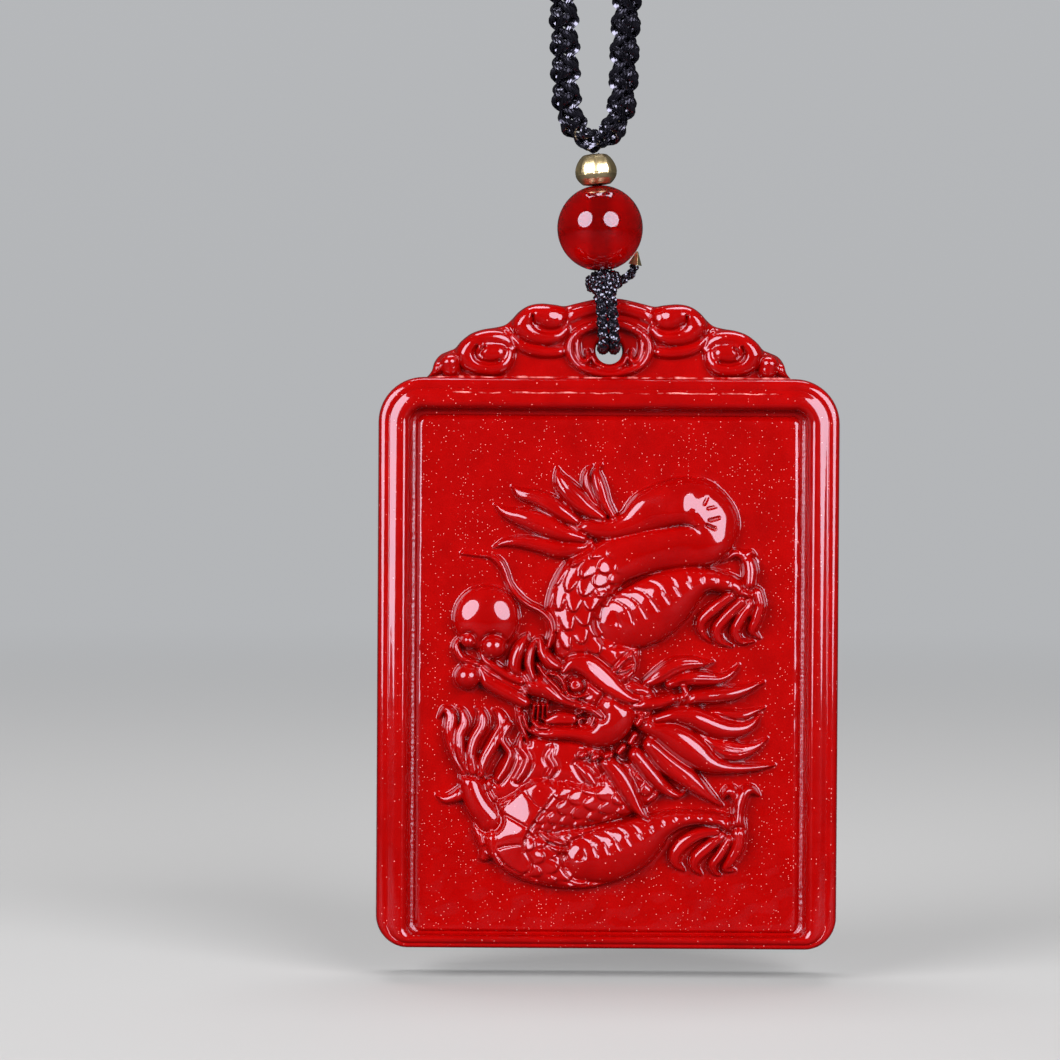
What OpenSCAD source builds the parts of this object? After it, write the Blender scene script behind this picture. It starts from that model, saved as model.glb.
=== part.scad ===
// Cinnabar dragon tablet hung from a braided neck cord with an agate bead and a gold bead.
// The origin is the point under the top of the neck loop where the piece hangs. The front faces -Y.

/* [Tablet] */
// Width of the tablet across its frame
tablet_w = 42.8; // [38:0.2:48]
// Height of the framed part, from the bottom edge to the foot of the crest
frame_h = 53; // [50:0.5:56]
// Height of the crest above the framed part
crest_h = 7.5; // [7:0.1:8]
// Distance from the middle plane to the highest rib of the frame, and to the flat back
half_t = 4.2; // [3.8:0.1:5]
// Depth of the panel below the rib
panel_depth = 1.4; // [1:0.1:1.8]
// Width of the frame's bottom bar, as a share of its side bars
foot_share = 0.42; // [0.3:0.01:1]
// Diameter of the hole for the cord
hole_d = 2.56; // [2.5:0.02:3]
// Height of the hole's centre above the tablet's bottom edge
hole_up = 55.6; // [55.4:0.1:56]

/* [Beads] */
// Diameter of the agate bead
agate_d = 8; // [6:0.5:10]
// Largest diameter of the gold bead
gold_d = 3.9; // [3.4:0.1:4.4]
// Height of the gold bead
gold_h = 2.8; // [2.4:0.1:3.4]
// Number of cut facets round the top of the gold bead
gold_facets = 9; // [8:1:12]
// Diameter of the hole through both beads
bead_bore_d = 1.5; // [1.4:0.1:1.8]

/* [Cords] */
// Diameter of the braided neck cord
braid_d = 2.8; // [2.4:0.1:3.2]
// Diameter of each strand of the hanging cord
strand_d = 1.08; // [1:0.02:1.1]
// Diameter of the cord inside the beads
thread_d = 1.24; // [1:0.02:1.3]
// Width of the barrel knot
knot_d = 3.5; // [3:0.1:3.8]
// Height of the barrel knot
knot_h = 1.95; // [1.8:0.05:2]
// Lean of the beads and knot from the upright, in degrees
lean = 4.5; // [0:0.5:6]

/* [Hidden] */

// Places of the main pieces, from the hanging point
hole_x = 1.5;
hole_z = -320;
foot_z = hole_z - hole_up;
swing_up = 0.25;

// Distances along the leaning string of beads, from the hole's centre
knot_at = 5.45;
gap = 0.1;
agate_at = knot_at + knot_h + gap + agate_d / 2;
gold_at = agate_at + agate_d / 2 + gap;
thread_end = gold_at + gold_h - 0.3;

// Colours
cinnabar = [0.72, 0.02, 0.02];
agate_red = [0.6, 0, 0.02];
pale_gold = [0.83, 0.71, 0.45];
cord_black = [0.05, 0.045, 0.055];

// One half of the neck loop's centre line, from the low bend to the top: distance from the middle, height
loop_half = [
    [0, -300.1], [1.4, -299.5], [2.25, -298], [2.6, -296], [2.8, -290], [3.4, -280],
    [4.6, -260], [6.6, -220], [8.5, -180], [10.1, -140], [11.7, -100], [13.1, -60],
    [14.5, -25], [14.8, -13], [13.6, -7], [10.6, -2.5], [5.9, 0.5], [0, 1.4]
];

// One strand of the hanging cord, from inside the knot, over the front of the crest, through the hole
// and up the back: depth, height above the hole's centre
strand_half = [
    [0.3, 6.5], [1.5, 6.2], [2.4, 5.6], [3.1, 4.5], [3.45, 3.2], [3.5, 2], [3.4, 1.1], [2.9, 0.5], [2, 0.25]
];

// The tail, from inside the knot to its tip, beside the hole's centre: across, depth, height
tail_route = [[0.2, 0.8, 6.6], [1.15, 1.7, 6.7], [2.05, 2.25, 7.3], [2.42, 2.45, 8.1]];
tip_at = [2.46, 2.45, 8.2];
tip_h = 1.3;

// Frame section, from the middle of the back round to the edge of the panel: inset, depth
frame_section = [
    [2.6, half_t], [1.2, half_t - 0.1], [0.4, half_t - 0.6], [0, half_t - 1.5], [0, 1.6 - half_t],
    [0.12, 1 - half_t], [0.5, 0.5 - half_t], [0.95, 0.33 - half_t], [1.15, 0.34 - half_t],
    [1.5, 0.2 - half_t], [2, 0.02 - half_t], [2.5, 0.03 - half_t], [2.85, 0.35 - half_t],
    [3, panel_depth - half_t], [3.15, panel_depth + 0.3 - half_t], [3.5, panel_depth + 0.3 - half_t],
    [3.7, panel_depth + 0.05 - half_t], [3.95, panel_depth - half_t]
];

// Right half of the crest's outline, from its foot to the middle of its top: across, height
crest_half = [
    [18.2, -0.7], [17.1, 0], [16.55, 0.6], [16.3, 1.4], [15.75, 2.1], [14.9, 2.5], [14.3, 2.8],
    [13.8, 3.4], [12.9, 4.1], [11.8, 4.5], [10.6, 4.7], [9.7, 4.95], [9.05, 5.5], [8.4, 6.2],
    [7.5, 6.75], [6.4, 6.95], [5.1, 6.85], [4.2, 6.72], [3.2, 6.95], [2.2, 7.2], [1.1, 7.4], [0, 7.5]
];
crest_scale = crest_h / 7.5;
crest_front = 2.3 - half_t + 0.2;
crest_back = half_t - 1.9;
crest_round = 0.9;

// Forms of the crest's right half. Every row is: across, height above the crest's foot, half width, rise
crest_forms = [
    // swag
    [[9.6, 4, 0.4, 0.5], [7.4, 2.75, 0.6, 0.75], [5.5, 2.35, 0.55, 0.7], [3.9, 2.7, 0.4, 0.6]],
    // upper curl and its ball
    [
        [3.6, 5.9, 0.5, 0.5], [4.6, 6.2, 0.6, 0.7], [6, 6.2, 0.8, 1], [7.3, 5.7, 0.9, 1.1],
        [7.8, 4.9, 0.9, 1.1], [7.1, 4.1, 0.8, 1], [5.8, 3.8, 0.7, 1], [4.5, 4.1, 0.6, 0.9]
    ],
    [[5, 5.3, 0.8, 1.1], [5.7, 5.3, 0.95, 1.2]],
    // side curl and its ball
    [
        [8.8, 3, 0.4, 0.5], [9.8, 3.6, 0.6, 0.8], [11.2, 3.7, 0.8, 1], [12.6, 3.2, 0.9, 1],
        [13.1, 2.2, 0.9, 1], [12.6, 1.3, 0.8, 1], [11.3, 0.9, 0.6, 0.9], [10, 1.1, 0.5, 0.8],
        [9.3, 1.8, 0.4, 0.8]
    ],
    [[10.6, 2.2, 0.8, 1.1], [11.3, 2.1, 0.9, 1.1]],
    // end lobe
    [[14.8, 1.3, 1.1, 1], [15.6, 1.1, 1, 0.9]]
];
// The oval round the hole: half width, half height, height of its centre above the crest's foot
oval = [3.8, 2.35, 2.7];
oval_tube = [0.42, 0.95];

// The dragon. Every row is: across, height above the tablet's foot, half width, rise above the panel
body_upper = [
    [-3, 39.6, 0.5, 1.1], [-1.9, 39.3, 0.8, 1.4], [0.1, 39.2, 1, 1.5], [2.2, 39.8, 1.3, 1.6],
    [4.1, 41, 1.9, 1.7], [6.6, 41.7, 2.2, 1.8], [8.9, 41.4, 2.3, 1.9], [10, 39.8, 2.3, 1.9],
    [9.2, 38, 2.2, 1.9], [6.6, 37.4, 2, 1.8], [3.7, 37, 2.1, 1.8], [0.6, 36.1, 2.3, 1.9],
    [-1.6, 34.4, 2.8, 1.9], [-2.2, 31.9, 3.3, 2], [-1.6, 29.6, 3.6, 1.9], [-0.6, 27.4, 3.6, 1.7]
];
body_lower = [
    [3.4, 15.6, 2, 1.4], [-2, 14.4, 2.8, 1.7], [-5.3, 13.7, 2.9, 1.8], [-7.7, 12.2, 2.8, 1.9],
    [-8.5, 10.6, 2.7, 1.9], [-7.2, 9.2, 2.6, 2], [-4.6, 8.6, 2.6, 2], [-1.4, 8.7, 2.6, 1.9]
];
belly = [[-4.6, 15.6, 0.6, 1.8], [-7, 13.5, 1.1, 2.1], [-8.6, 10.6, 1, 2.1], [-7.6, 8.2, 0.7, 1.9]];
shoulder = [[-9.5, 14.8, 1.2, 1.1], [-8.4, 16.4, 1.7, 1.3], [-6.8, 17.8, 2, 1.4], [-2, 17.4, 2.2, 1.4]];
fin = [[-10.4, 15, 1.1, 1.3], [-11, 12, 1.2, 1.3], [-10.8, 9.4, 0.9, 1], [-11.2, 8.6, 0.4, 0.7]];
hind_leg = [
    [1.2, 30.6, 2.4, 1.5], [3.2, 31.2, 2.9, 1.9], [5.2, 32.4, 2.7, 2.1], [7, 33.6, 1.9, 2],
    [8.5, 34.3, 1.3, 1.9], [11.7, 33.9, 0.95, 1.8], [12.9, 33, 1, 1.7], [13.5, 31.9, 0.9, 1.5]
];
fore_leg = [
    [-1.8, 8.6, 2.2, 1.9], [0.4, 9, 2.6, 2], [2.4, 9.8, 2.4, 2.1], [3.8, 10.7, 1.9, 2.1],
    [5, 11.5, 1.3, 2], [8.4, 12.4, 0.8, 1.8], [11.5, 11.8, 0.8, 1.7], [12.3, 10.9, 0.8, 1.6]
];
arm = [[-12.3, 17.2, 1, 1.4], [-12.4, 15.7, 1.1, 1.5], [-11.8, 13.9, 1.2, 1.5], [-10.7, 12.2, 1.3, 1.4]];
skull = [[-6, 25, 1.6, 1.6], [-3, 25, 2.1, 1.8], [0, 23.8, 2.4, 1.9], [3.2, 23.2, 1.6, 1.9]];
jaw = [[-6.6, 20.5, 0.5, 1.6], [-3.6, 20.3, 0.7, 1.9], [-1, 20.2, 1.3, 2], [0.7, 22, 1.9, 2.1]];
lip = [
    [-8.3, 25.6, 0.7, 1.6], [-7.1, 24.9, 1.1, 1.9], [-5.6, 24.4, 1, 2], [-4.2, 23.7, 0.8, 2],
    [-1.2, 22.4, 0.5, 2]
];
brow = [
    [-3.9, 26, 0.3, 2.1], [-3, 26.7, 0.7, 2.2], [-1.6, 26.5, 1, 2.3], [-0.2, 25.4, 1, 2.3],
    [1.1, 24.2, 0.8, 2.2], [3.2, 23.1, 0.7, 2.1], [6.2, 23.5, 0.6, 1.9]
];

// Locks, claws and other tapering forms: start, middle and tip, each in the columns above
locks = [
    // tail tufts
    [[-1.6, 37.9, 0.5, 0.9], [-3.6, 37.3, 0.8, 1.1], [-6.9, 37.8, 0.7, 1], [-10.3, 37.5, 0.2, 0.4]],
    [[-2.2, 38.3, 0.5, 1.2], [-6, 39.6, 1, 1.3], [-8.4, 40.4, 0.7, 1], [-10.3, 41.4, 0.2, 0.4]],
    [[-2.8, 39.9, 0.5, 1.2], [-5.2, 41.4, 0.9, 1.3], [-7.2, 42.2, 0.6, 1], [-8.7, 43.1, 0.2, 0.4]],
    [[-0.4, 40.3, 0.5, 1.2], [-2.9, 42, 1, 1.3], [-4, 43.3, 0.7, 1], [-4.6, 44.8, 0.2, 0.4]],
    [[-0.4, 40.7, 0.4, 1], [-1.6, 42.6, 0.5, 1.1], [-1.9, 44, 0.4, 0.8], [-1.4, 45.1, 0.2, 0.3]],
    [[0.6, 40.4, 0.4, 1.1], [-0.5, 42.7, 0.6, 1.2], [-0.9, 44, 0.5, 0.9], [-0.5, 45.2, 0.2, 0.3]],
    // hind foot: the dewclaw and four claws
    [[13.3, 34.2, 0.7, 1.5], [13.4, 35.6, 0.7, 1.4], [12.9, 36.8, 0.5, 1.1], [10.8, 36.2, 0.2, 0.4]],
    [[14, 33.3, 0.6, 1.4], [14.2, 32, 0.6, 1.3], [13.6, 29.8, 0.4, 1], [14.2, 29.1, 0.2, 0.4]],
    [[13.2, 32.3, 0.6, 1.5], [12.1, 30, 0.5, 1.2], [12.6, 28.8, 0.3, 0.8], [13.6, 28.8, 0.2, 0.4]],
    [[12.5, 32.5, 0.6, 1.5], [10.4, 30.2, 0.5, 1.2], [10.6, 28.9, 0.3, 0.8], [11.7, 28.3, 0.2, 0.4]],
    [[11.5, 33, 0.5, 1.4], [9, 30.8, 0.6, 1.2], [9, 29.6, 0.4, 0.8], [9.8, 28.7, 0.2, 0.4]],
    // fore foot: the dewclaw and four claws
    [[12.4, 11.2, 0.8, 1.5], [12.4, 12.6, 0.6, 1.4], [12.4, 14.2, 0.7, 1.3]],
    [[11.4, 14.6, 0.2, 0.6], [12.7, 15.1, 0.6, 1.2], [14.2, 14.8, 0.2, 0.5]],
    [[12.4, 10.9, 0.8, 1.5], [12, 9.2, 0.6, 1.3], [11.3, 7.7, 0.4, 0.9], [12.1, 7.5, 0.2, 0.4]],
    [[11.4, 10.4, 0.5, 1.4], [10.2, 8.3, 0.5, 1.2], [10.3, 7.3, 0.3, 0.7]],
    [[10.8, 10.8, 0.5, 1.4], [8.8, 9, 0.6, 1.3], [8.4, 7.8, 0.4, 0.9], [9, 7.1, 0.2, 0.4]],
    [[10.4, 11.2, 0.5, 1.3], [7.8, 10.4, 0.7, 1.3], [6.6, 8.9, 0.6, 1.2], [7.3, 7.5, 0.2, 0.4]],
    // raised paw on the left: the dewclaw and four claws
    [[-12.6, 15, 0.8, 1.2], [-14.7, 14, 0.5, 0.8], [-15.6, 14.3, 0.2, 0.4]],
    [[-12.9, 16.7, 0.6, 1.4], [-14.3, 20.4, 0.6, 1.3], [-14.8, 22.3, 0.4, 0.8], [-15.4, 21.5, 0.2, 0.4]],
    [[-12.6, 16.8, 0.5, 1.5], [-13.5, 19.9, 0.5, 1.3], [-13.1, 21.4, 0.5, 1.1], [-13.7, 22.5, 0.2, 0.4]],
    [[-12.2, 16.7, 0.5, 1.5], [-12.2, 19.3, 0.6, 1.4], [-11.4, 21.4, 0.5, 1.1], [-12, 22.4, 0.2, 0.4]],
    [[-11.6, 16.5, 0.6, 1.5], [-10.4, 19.2, 0.6, 1.3], [-9.6, 21.3, 0.5, 1.1], [-10.4, 22.3, 0.2, 0.4]],
    // mane, from the top down
    [[3.9, 24.9, 0.5, 1.6], [6, 26.2, 0.9, 1.6], [8.4, 26.8, 0.5, 1.2], [10, 26.9, 0.2, 0.5]],
    [[6, 25, 0.6, 1.6], [8.4, 25.4, 0.7, 1.5], [11, 25.5, 0.4, 1], [12.4, 26.6, 0.2, 0.4]],
    [[4.6, 23.2, 0.6, 1.7], [8.4, 23.7, 0.7, 1.7], [12, 24, 0.6, 1.3], [14.7, 25, 0.2, 0.4]],
    [[4.8, 21.6, 0.6, 1.7], [8, 21.8, 1.1, 1.9], [12, 20.6, 0.9, 1.5], [14.4, 22.1, 0.2, 0.4]],
    [[9.6, 22.2, 0.3, 1], [12.2, 21.9, 0.5, 1.1], [14.7, 22.7, 0.2, 0.4]],
    [[3.4, 21.3, 0.8, 1.7], [7.2, 19.4, 1.5, 2], [9.7, 17.6, 1, 1.7], [15.7, 17.3, 0.2, 0.4]],
    [[8.7, 20.1, 0.4, 1.2], [11, 18.8, 1, 1.4], [13, 18.7, 0.7, 1.1], [15, 19.8, 0.2, 0.4]],
    [[4.3, 19.2, 0.9, 1.9], [7, 16.7, 1.1, 1.9], [9.3, 14.8, 0.6, 1.3], [10.8, 13.6, 0.2, 0.6]],
    [[2.8, 18.3, 0.8, 1.8], [4.8, 15.9, 0.8, 1.7], [6.6, 14.6, 0.4, 1], [7.5, 14.8, 0.2, 0.5]],
    [[0.2, 17.6, 0.8, 1.8], [2, 15.3, 1, 1.9], [4.1, 12.3, 0.2, 1.5]],
    // ear
    [[0.9, 25.2, 0.7, 1.9], [1.8, 26.2, 0.9, 1.9], [2.4, 27.8, 0.2, 1.5]],
    // nose
    [[-7.6, 23.9, 0.5, 1.7], [-8.4, 26.6, 0.7, 1.7], [-7.4, 29.1, 0.2, 1]],
    [[-6.1, 28.9, 0.3, 1.5], [-5.3, 27.1, 0.7, 2.1], [-4, 26.3, 0.4, 2]],
    // curls before the nose
    [[-7.5, 23.1, 0.6, 1.5], [-10, 24.4, 0.7, 1.4], [-11.7, 26, 0.4, 1.2]],
    [[-8, 24.6, 0.7, 1.6], [-10.2, 25.8, 0.7, 1.5], [-13.3, 27.1, 0.5, 1.2], [-13.3, 29, 0.3, 0.9]]
];
whisker = [
    [-13.3, 36.8, 0.2, 0.4], [-10.8, 36.6, 0.3, 0.6], [-9.5, 35.4, 0.35, 0.7], [-9, 34.1, 0.3, 0.7],
    [-7.2, 32.1, 0.3, 1.1], [-5.5, 31.1, 0.3, 1.7], [-5, 29.5, 0.3, 1.8], [-5.3, 28.3, 0.3, 1.8]
];
// The pearl, three small balls under it, and the eye
balls = [
    [-11.1, 31.2, 3.2, 2], [-12.7, 28.8, 0.8, 1.7], [-10.4, 28.2, 1.2, 2.1], [-12.8, 25.4, 1.2, 1.8],
    [-2.7, 24.7, 0.8, 2.1]
];

// A point on the smooth curve through p1 and p2, with their neighbours p0 and p3, at the share t
function bend(p0, p1, p2, p3, t) =
    0.5 * (2 * p1 + (p2 - p0) * t + (2 * p0 - 5 * p1 + 4 * p2 - p3) * t * t
    + (3 * p1 - p0 - 3 * p2 + p3) * t * t * t);

// The points of a route with more put between them where it turns
function smooth_route(p, closed = false) = let (n = len(p), last = closed ? n - 1 : n - 2) [
    for (i = [0 : last])
        let (a = p[closed ? (i + n - 1) % n : max(i - 1, 0)], b = p[i], c = p[(i + 1) % n],
             d = p[closed ? (i + 2) % n : min(i + 2, n - 1)],
             steps = norm(c - b) < 8 ? 2 : 1)
            for (k = [0 : steps - 1]) bend(a, b, c, d, k / steps),
    if (!closed) p[n - 1]
];

function unit(v) = v / norm(v);

// The direction of the route at point i
function heading(p, i, closed) = let (n = len(p))
    unit(p[closed ? (i + 1) % n : min(i + 1, n - 1)] - p[closed ? (i + n - 1) % n : max(i - 1, 0)]);

// A round tube along a route that lies about in the plane square to the vector side
module tube(route, d, side, closed = false, sides = 8) {
    p = smooth_route(route, closed);
    n = len(p);
    points = [
        for (i = [0 : n - 1])
            let (t = heading(p, i, closed), b = unit(cross(t, side)), c = cross(b, t))
                for (k = [0 : sides - 1])
                    p[i] + d / 2 * (b * cos(360 * k / sides) + c * sin(360 * k / sides))
    ];
    walls = [
        for (i = [0 : closed ? n - 1 : n - 2], k = [0 : sides - 1])
            let (a = i * sides, b = ((i + 1) % n) * sides, m = (k + 1) % sides)
                [a + k, a + m, b + m, b + k]
    ];
    caps = closed ? [] : [
        [for (k = [sides - 1 : -1 : 0]) k], [for (k = [0 : sides - 1]) (n - 1) * sides + k]
    ];
    polyhedron(points, concat(walls, caps), convexity = 6);
}

// Stands a child on the leaning string of beads, at a distance from the hole
module on_string(at) {
    translate([hole_x, 0, hole_z]) rotate([0, -lean, 0]) translate([0, 0, at]) children();
}

// Points round a frame section: a rounded rectangle that stands on the tablet's foot
function frame_ring(inset, depth) = let (
    w = tablet_w / 2 - inset, top = frame_h - inset, foot = foot_share * inset,
    rt = max(4.2 - inset, 0.9), rb = max(3 - inset, 0.9),
    corners = [[w - rt, top - rt, rt, 0], [rt - w, top - rt, rt, 90],
               [rb - w, foot + rb, rb, 180], [w - rb, foot + rb, rb, 270]]
) [
    for (c = corners, k = [0 : 6]) [c[0] + c[2] * cos(c[3] + 15 * k), depth, c[1] + c[2] * sin(c[3] + 15 * k)]
];

// The framed slab: sections set one inside the next, from the back to the panel
module frame_slab() {
    rings = [for (s = frame_section) frame_ring(s[0], s[1])];
    n = len(rings[0]);
    last = len(rings) - 1;
    walls = [
        for (i = [0 : last - 1], k = [0 : n - 1])
            let (a = i * n, b = (i + 1) * n, m = (k + 1) % n) [a + k, b + k, b + m, a + m]
    ];
    caps = [[for (k = [0 : n - 1]) k], [for (k = [n - 1 : -1 : 0]) last * n + k]];
    polyhedron([for (r = rings) each r], concat(walls, caps), convexity = 6);
}

// The scrolled crest's outline, from one foot over the top to the other
function crest_outline() = concat(
    [[18.2, -4]], [for (p = crest_half) [p[0], p[1] * crest_scale]],
    [for (i = [len(crest_half) - 2 : -1 : 0]) [-crest_half[i][0], crest_half[i][1] * crest_scale]],
    [[-18.2, -4]]
);

module crest_slab() {
    thick = crest_back - crest_front - 2 * crest_round;
    translate([0, crest_back - crest_round, frame_h]) rotate([90, 0, 0]) minkowski() {
        linear_extrude(thick) offset(delta = -crest_round) polygon(crest_outline());
        sphere(crest_round, $fn = 12);
    }
}

// One flattened ball of a raised form, half sunk in the surface behind it
module dab(row, sides = 10) {
    translate([row[0], 0, row[1]]) scale([row[2], row[3], row[2]]) sphere(1, $fn = sides);
}

// A raised form through the rows of its table
module form(rows, sides = 10) {
    for (i = [0 : len(rows) - 2]) hull() {
        dab(rows[i], sides);
        dab(rows[i + 1], sides);
    }
}

// A closed ring of short bars round an oval
function oval_rows(o) = [
    for (k = [0 : 14]) [o[0] * cos(24 * k), o[2] + o[1] * sin(24 * k), oval_tube[0], oval_tube[1]]
];

module crest_relief() {
    form(oval_rows(oval), 8);
    for (side = [-1, 1]) scale([side, 1, 1])
        for (f = crest_forms) form(f, 8);
}

module dragon() {
    for (f = [body_upper, body_lower, belly, shoulder, fin, hind_leg, fore_leg, arm]) form(f);
    for (f = [skull, jaw, lip, brow]) form(f);
    for (f = locks) form(f, 8);
    form(whisker, 6);
    for (b = balls) dab(b, 16);
}

module tablet() {
    color(cinnabar) translate([hole_x, 0, foot_z]) difference() {
        union() {
            frame_slab();
            crest_slab();
            translate([0, crest_front, frame_h]) crest_relief();
            translate([0, panel_depth - half_t, 0]) dragon();
        }
        translate([0, 0, hole_up]) rotate([90, 0, 0])
            cylinder(h = 4 * half_t, d = hole_d, center = true, $fn = 48);
    }
}

module neck_cord() {
    route = concat(
        [for (p = loop_half) [p[0], 0, p[1]]],
        [for (i = [len(loop_half) - 2 : -1 : 1]) [-loop_half[i][0], 0, loop_half[i][1]]]
    );
    color(cord_black) tube(route, braid_d, [0, 1, 0], closed = true);
}

// The cut top of the gold bead narrows to a flat round its hole, and the bowl below is smooth
module gold_bead() {
    r = gold_d / 2;
    color(pale_gold) on_string(gold_at) difference() {
        intersection() {
            rotate_extrude($fn = 64) polygon([
                [0, 0], [0.6 * r, 0], [0.82 * r, 0.12 * gold_h], [0.96 * r, 0.28 * gold_h],
                [r, 0.45 * gold_h], [r, 0.55 * gold_h], [0.94 * r, 0.7 * gold_h],
                [0.78 * r, 0.88 * gold_h], [0.6 * r, gold_h], [0, gold_h]
            ]);
            cylinder(h = gold_h, r1 = 1.4 * r, r2 = 0.66 * r, $fn = gold_facets);
        }
        translate([0, 0, -1]) cylinder(h = gold_h + 2, d = bead_bore_d, $fn = 32);
    }
}

module agate_bead() {
    color(agate_red) on_string(agate_at) difference() {
        sphere(d = agate_d, $fn = 64);
        cylinder(h = agate_d + 2, d = bead_bore_d, center = true, $fn = 32);
    }
}

// The knot: a barrel of turns
module knot() {
    r = knot_d / 2;
    on_string(knot_at) rotate_extrude($fn = 16) polygon([
        [0, 0], [0.72 * r, 0], [0.95 * r, 0.22 * knot_h], [r, 0.5 * knot_h], [0.95 * r, 0.78 * knot_h],
        [0.72 * r, knot_h], [0, knot_h]
    ]);
}

// Both strands go round through the hole as one long loop each, closed inside the knot
module hanging_cord() {
    side = strand_d / 2 + 0.02;
    tilt = tan(lean);
    color(cord_black) union() {
        knot();
        on_string(knot_at + knot_h - 0.4)
            cylinder(h = thread_end - knot_at - knot_h + 0.4, d = thread_d, $fn = 16);
        for (x = [-side, side]) tube([
            for (p = strand_half) [hole_x + x - tilt * p[1], -p[0], hole_z + p[1]],
            [hole_x + x, 0, hole_z + swing_up],
            for (i = [len(strand_half) - 1 : -1 : 0])
                let (p = strand_half[i]) [hole_x + x - tilt * p[1], p[0], hole_z + p[1]]
        ], strand_d, [1, 0, 0]);
        tube([for (p = tail_route) [hole_x + p[0], p[1], hole_z + p[2]]], 0.9, [0, 1, 0]);
    }
}

// A small four-sided cone over the end of the tail
module tail_tip() {
    color(pale_gold) translate([hole_x, 0, hole_z] + tip_at) rotate([5, 8, 20])
        cylinder(h = tip_h, r1 = 0.72, r2 = 0.1, $fn = 4);
}

neck_cord();
gold_bead();
agate_bead();
hanging_cord();
tail_tip();
tablet();
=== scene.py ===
"""A cinnabar dragon tablet on a knotted cord, under an agate bead, a gold bead and a braided neck cord.

Sizes are in millimetres in the part's own frame, and meshes are written in metres. The tablet's own places
are given as across from its middle line and up from its bottom edge.
"""
from __future__ import annotations

import logging
import math
from collections.abc import Callable
from dataclasses import dataclass, replace
from enum import Enum

import bmesh
import bpy
import numpy as np
from bpy.types import Camera, Light, Material, Node, NodeSocket, NodeTree, Object
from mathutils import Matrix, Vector


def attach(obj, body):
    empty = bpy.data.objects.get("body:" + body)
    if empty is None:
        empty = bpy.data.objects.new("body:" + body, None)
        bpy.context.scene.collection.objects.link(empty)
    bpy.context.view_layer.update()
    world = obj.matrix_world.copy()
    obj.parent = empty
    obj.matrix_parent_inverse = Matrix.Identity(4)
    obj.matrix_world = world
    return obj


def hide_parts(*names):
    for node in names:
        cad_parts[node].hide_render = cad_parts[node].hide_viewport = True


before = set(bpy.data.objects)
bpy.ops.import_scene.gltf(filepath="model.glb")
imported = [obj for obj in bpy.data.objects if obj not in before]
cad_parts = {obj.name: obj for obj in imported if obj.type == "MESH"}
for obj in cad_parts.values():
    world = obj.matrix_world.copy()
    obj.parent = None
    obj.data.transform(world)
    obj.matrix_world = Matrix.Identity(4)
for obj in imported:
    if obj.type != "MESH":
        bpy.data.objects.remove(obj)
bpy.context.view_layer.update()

log = logging.getLogger("pendant")

MM = 0.001

# The hanging point is the origin, and these are the tablet's hole, its bottom edge and the lean of the beads
HOLE = np.array([1.5, 0.0, -320.0])
FOOT_Z = -375.6
LEAN = math.radians(4.5)

Faces = list[tuple[int, ...]]
Pairs = tuple[tuple[float, float], ...]
Point = tuple[float, float, float]
Tone = tuple[float, float, float, float]


class Body(Enum):
    """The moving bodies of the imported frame."""

    STRING = "string"
    TABLET = "tablet"


class Slot(Enum):
    """The material slots."""

    NECK_CORD = "neck_cord"
    HANGING_CORD = "hanging_cord"
    GOLD = "gold"
    AGATE = "agate"
    CINNABAR = "cinnabar"


def deselect() -> None:
    """Leaves object mode on and nothing selected."""
    if bpy.context.mode != "OBJECT":
        bpy.ops.object.mode_set(mode="OBJECT")
    bpy.ops.object.select_all(action="DESELECT")


def activate(piece: Object) -> None:
    """Makes one piece the only selected one and the active one.

    Args:
        piece: The piece.
    """
    deselect()
    piece.select_set(True)
    bpy.context.view_layer.objects.active = piece


def apply_modifiers(piece: Object) -> None:
    """Applies every modifier of a piece in order.

    Args:
        piece: The piece.
    """
    activate(piece)
    for modifier in list(piece.modifiers):
        bpy.ops.object.modifier_apply(modifier=modifier.name)


def settle(piece: Object) -> None:
    """Moves a piece's place, turn and scale into its mesh.

    Args:
        piece: The piece, which ends at the origin.
    """
    activate(piece)
    bpy.ops.object.transform_apply(location=True, rotation=True, scale=True)
    deselect()


def face_outward(piece: Object) -> None:
    """Turns the faces of a closed piece outwards.

    Args:
        piece: The piece.
    """
    activate(piece)
    bpy.ops.object.mode_set(mode="EDIT")
    bpy.ops.mesh.select_all(action="SELECT")
    bpy.ops.mesh.normals_make_consistent(inside=False)
    bpy.ops.object.mode_set(mode="OBJECT")


def thin(piece: Object, limit: int) -> None:
    """Takes out points that the shape can spare.

    Args:
        piece: The piece.
        limit: The most triangles that it may keep.
    """
    count = sum(len(p.vertices) - 2 for p in piece.data.polygons)
    if count > limit:
        piece.modifiers.new("thin", "DECIMATE").ratio = limit / count
        apply_modifiers(piece)


def mark(piece: Object, name: str, values: np.ndarray) -> None:
    """Gives each point of a piece a number that its finish reads."""
    piece.data.attributes.new(name, "FLOAT", "POINT").data.foreach_set("value", values)


def ring_faces(count: int, sides: int, looped: bool = False) -> Faces:
    """Joins rings of points into faces.

    Args:
        count: The number of rings.
        sides: The points in each ring.
        looped: Whether the last ring meets the first. Otherwise both ends get a flat face.

    Returns:
        The faces as point numbers.
    """
    faces = [
        (i * sides + k, i * sides + (k + 1) % sides, (i + 1) % count * sides + (k + 1) % sides,
         (i + 1) % count * sides + k)
        for i in range(count if looped else count - 1) for k in range(sides)
    ]
    if not looped:
        faces += [tuple(range(sides))[::-1], tuple((count - 1) * sides + k for k in range(sides))]
    return faces


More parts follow.
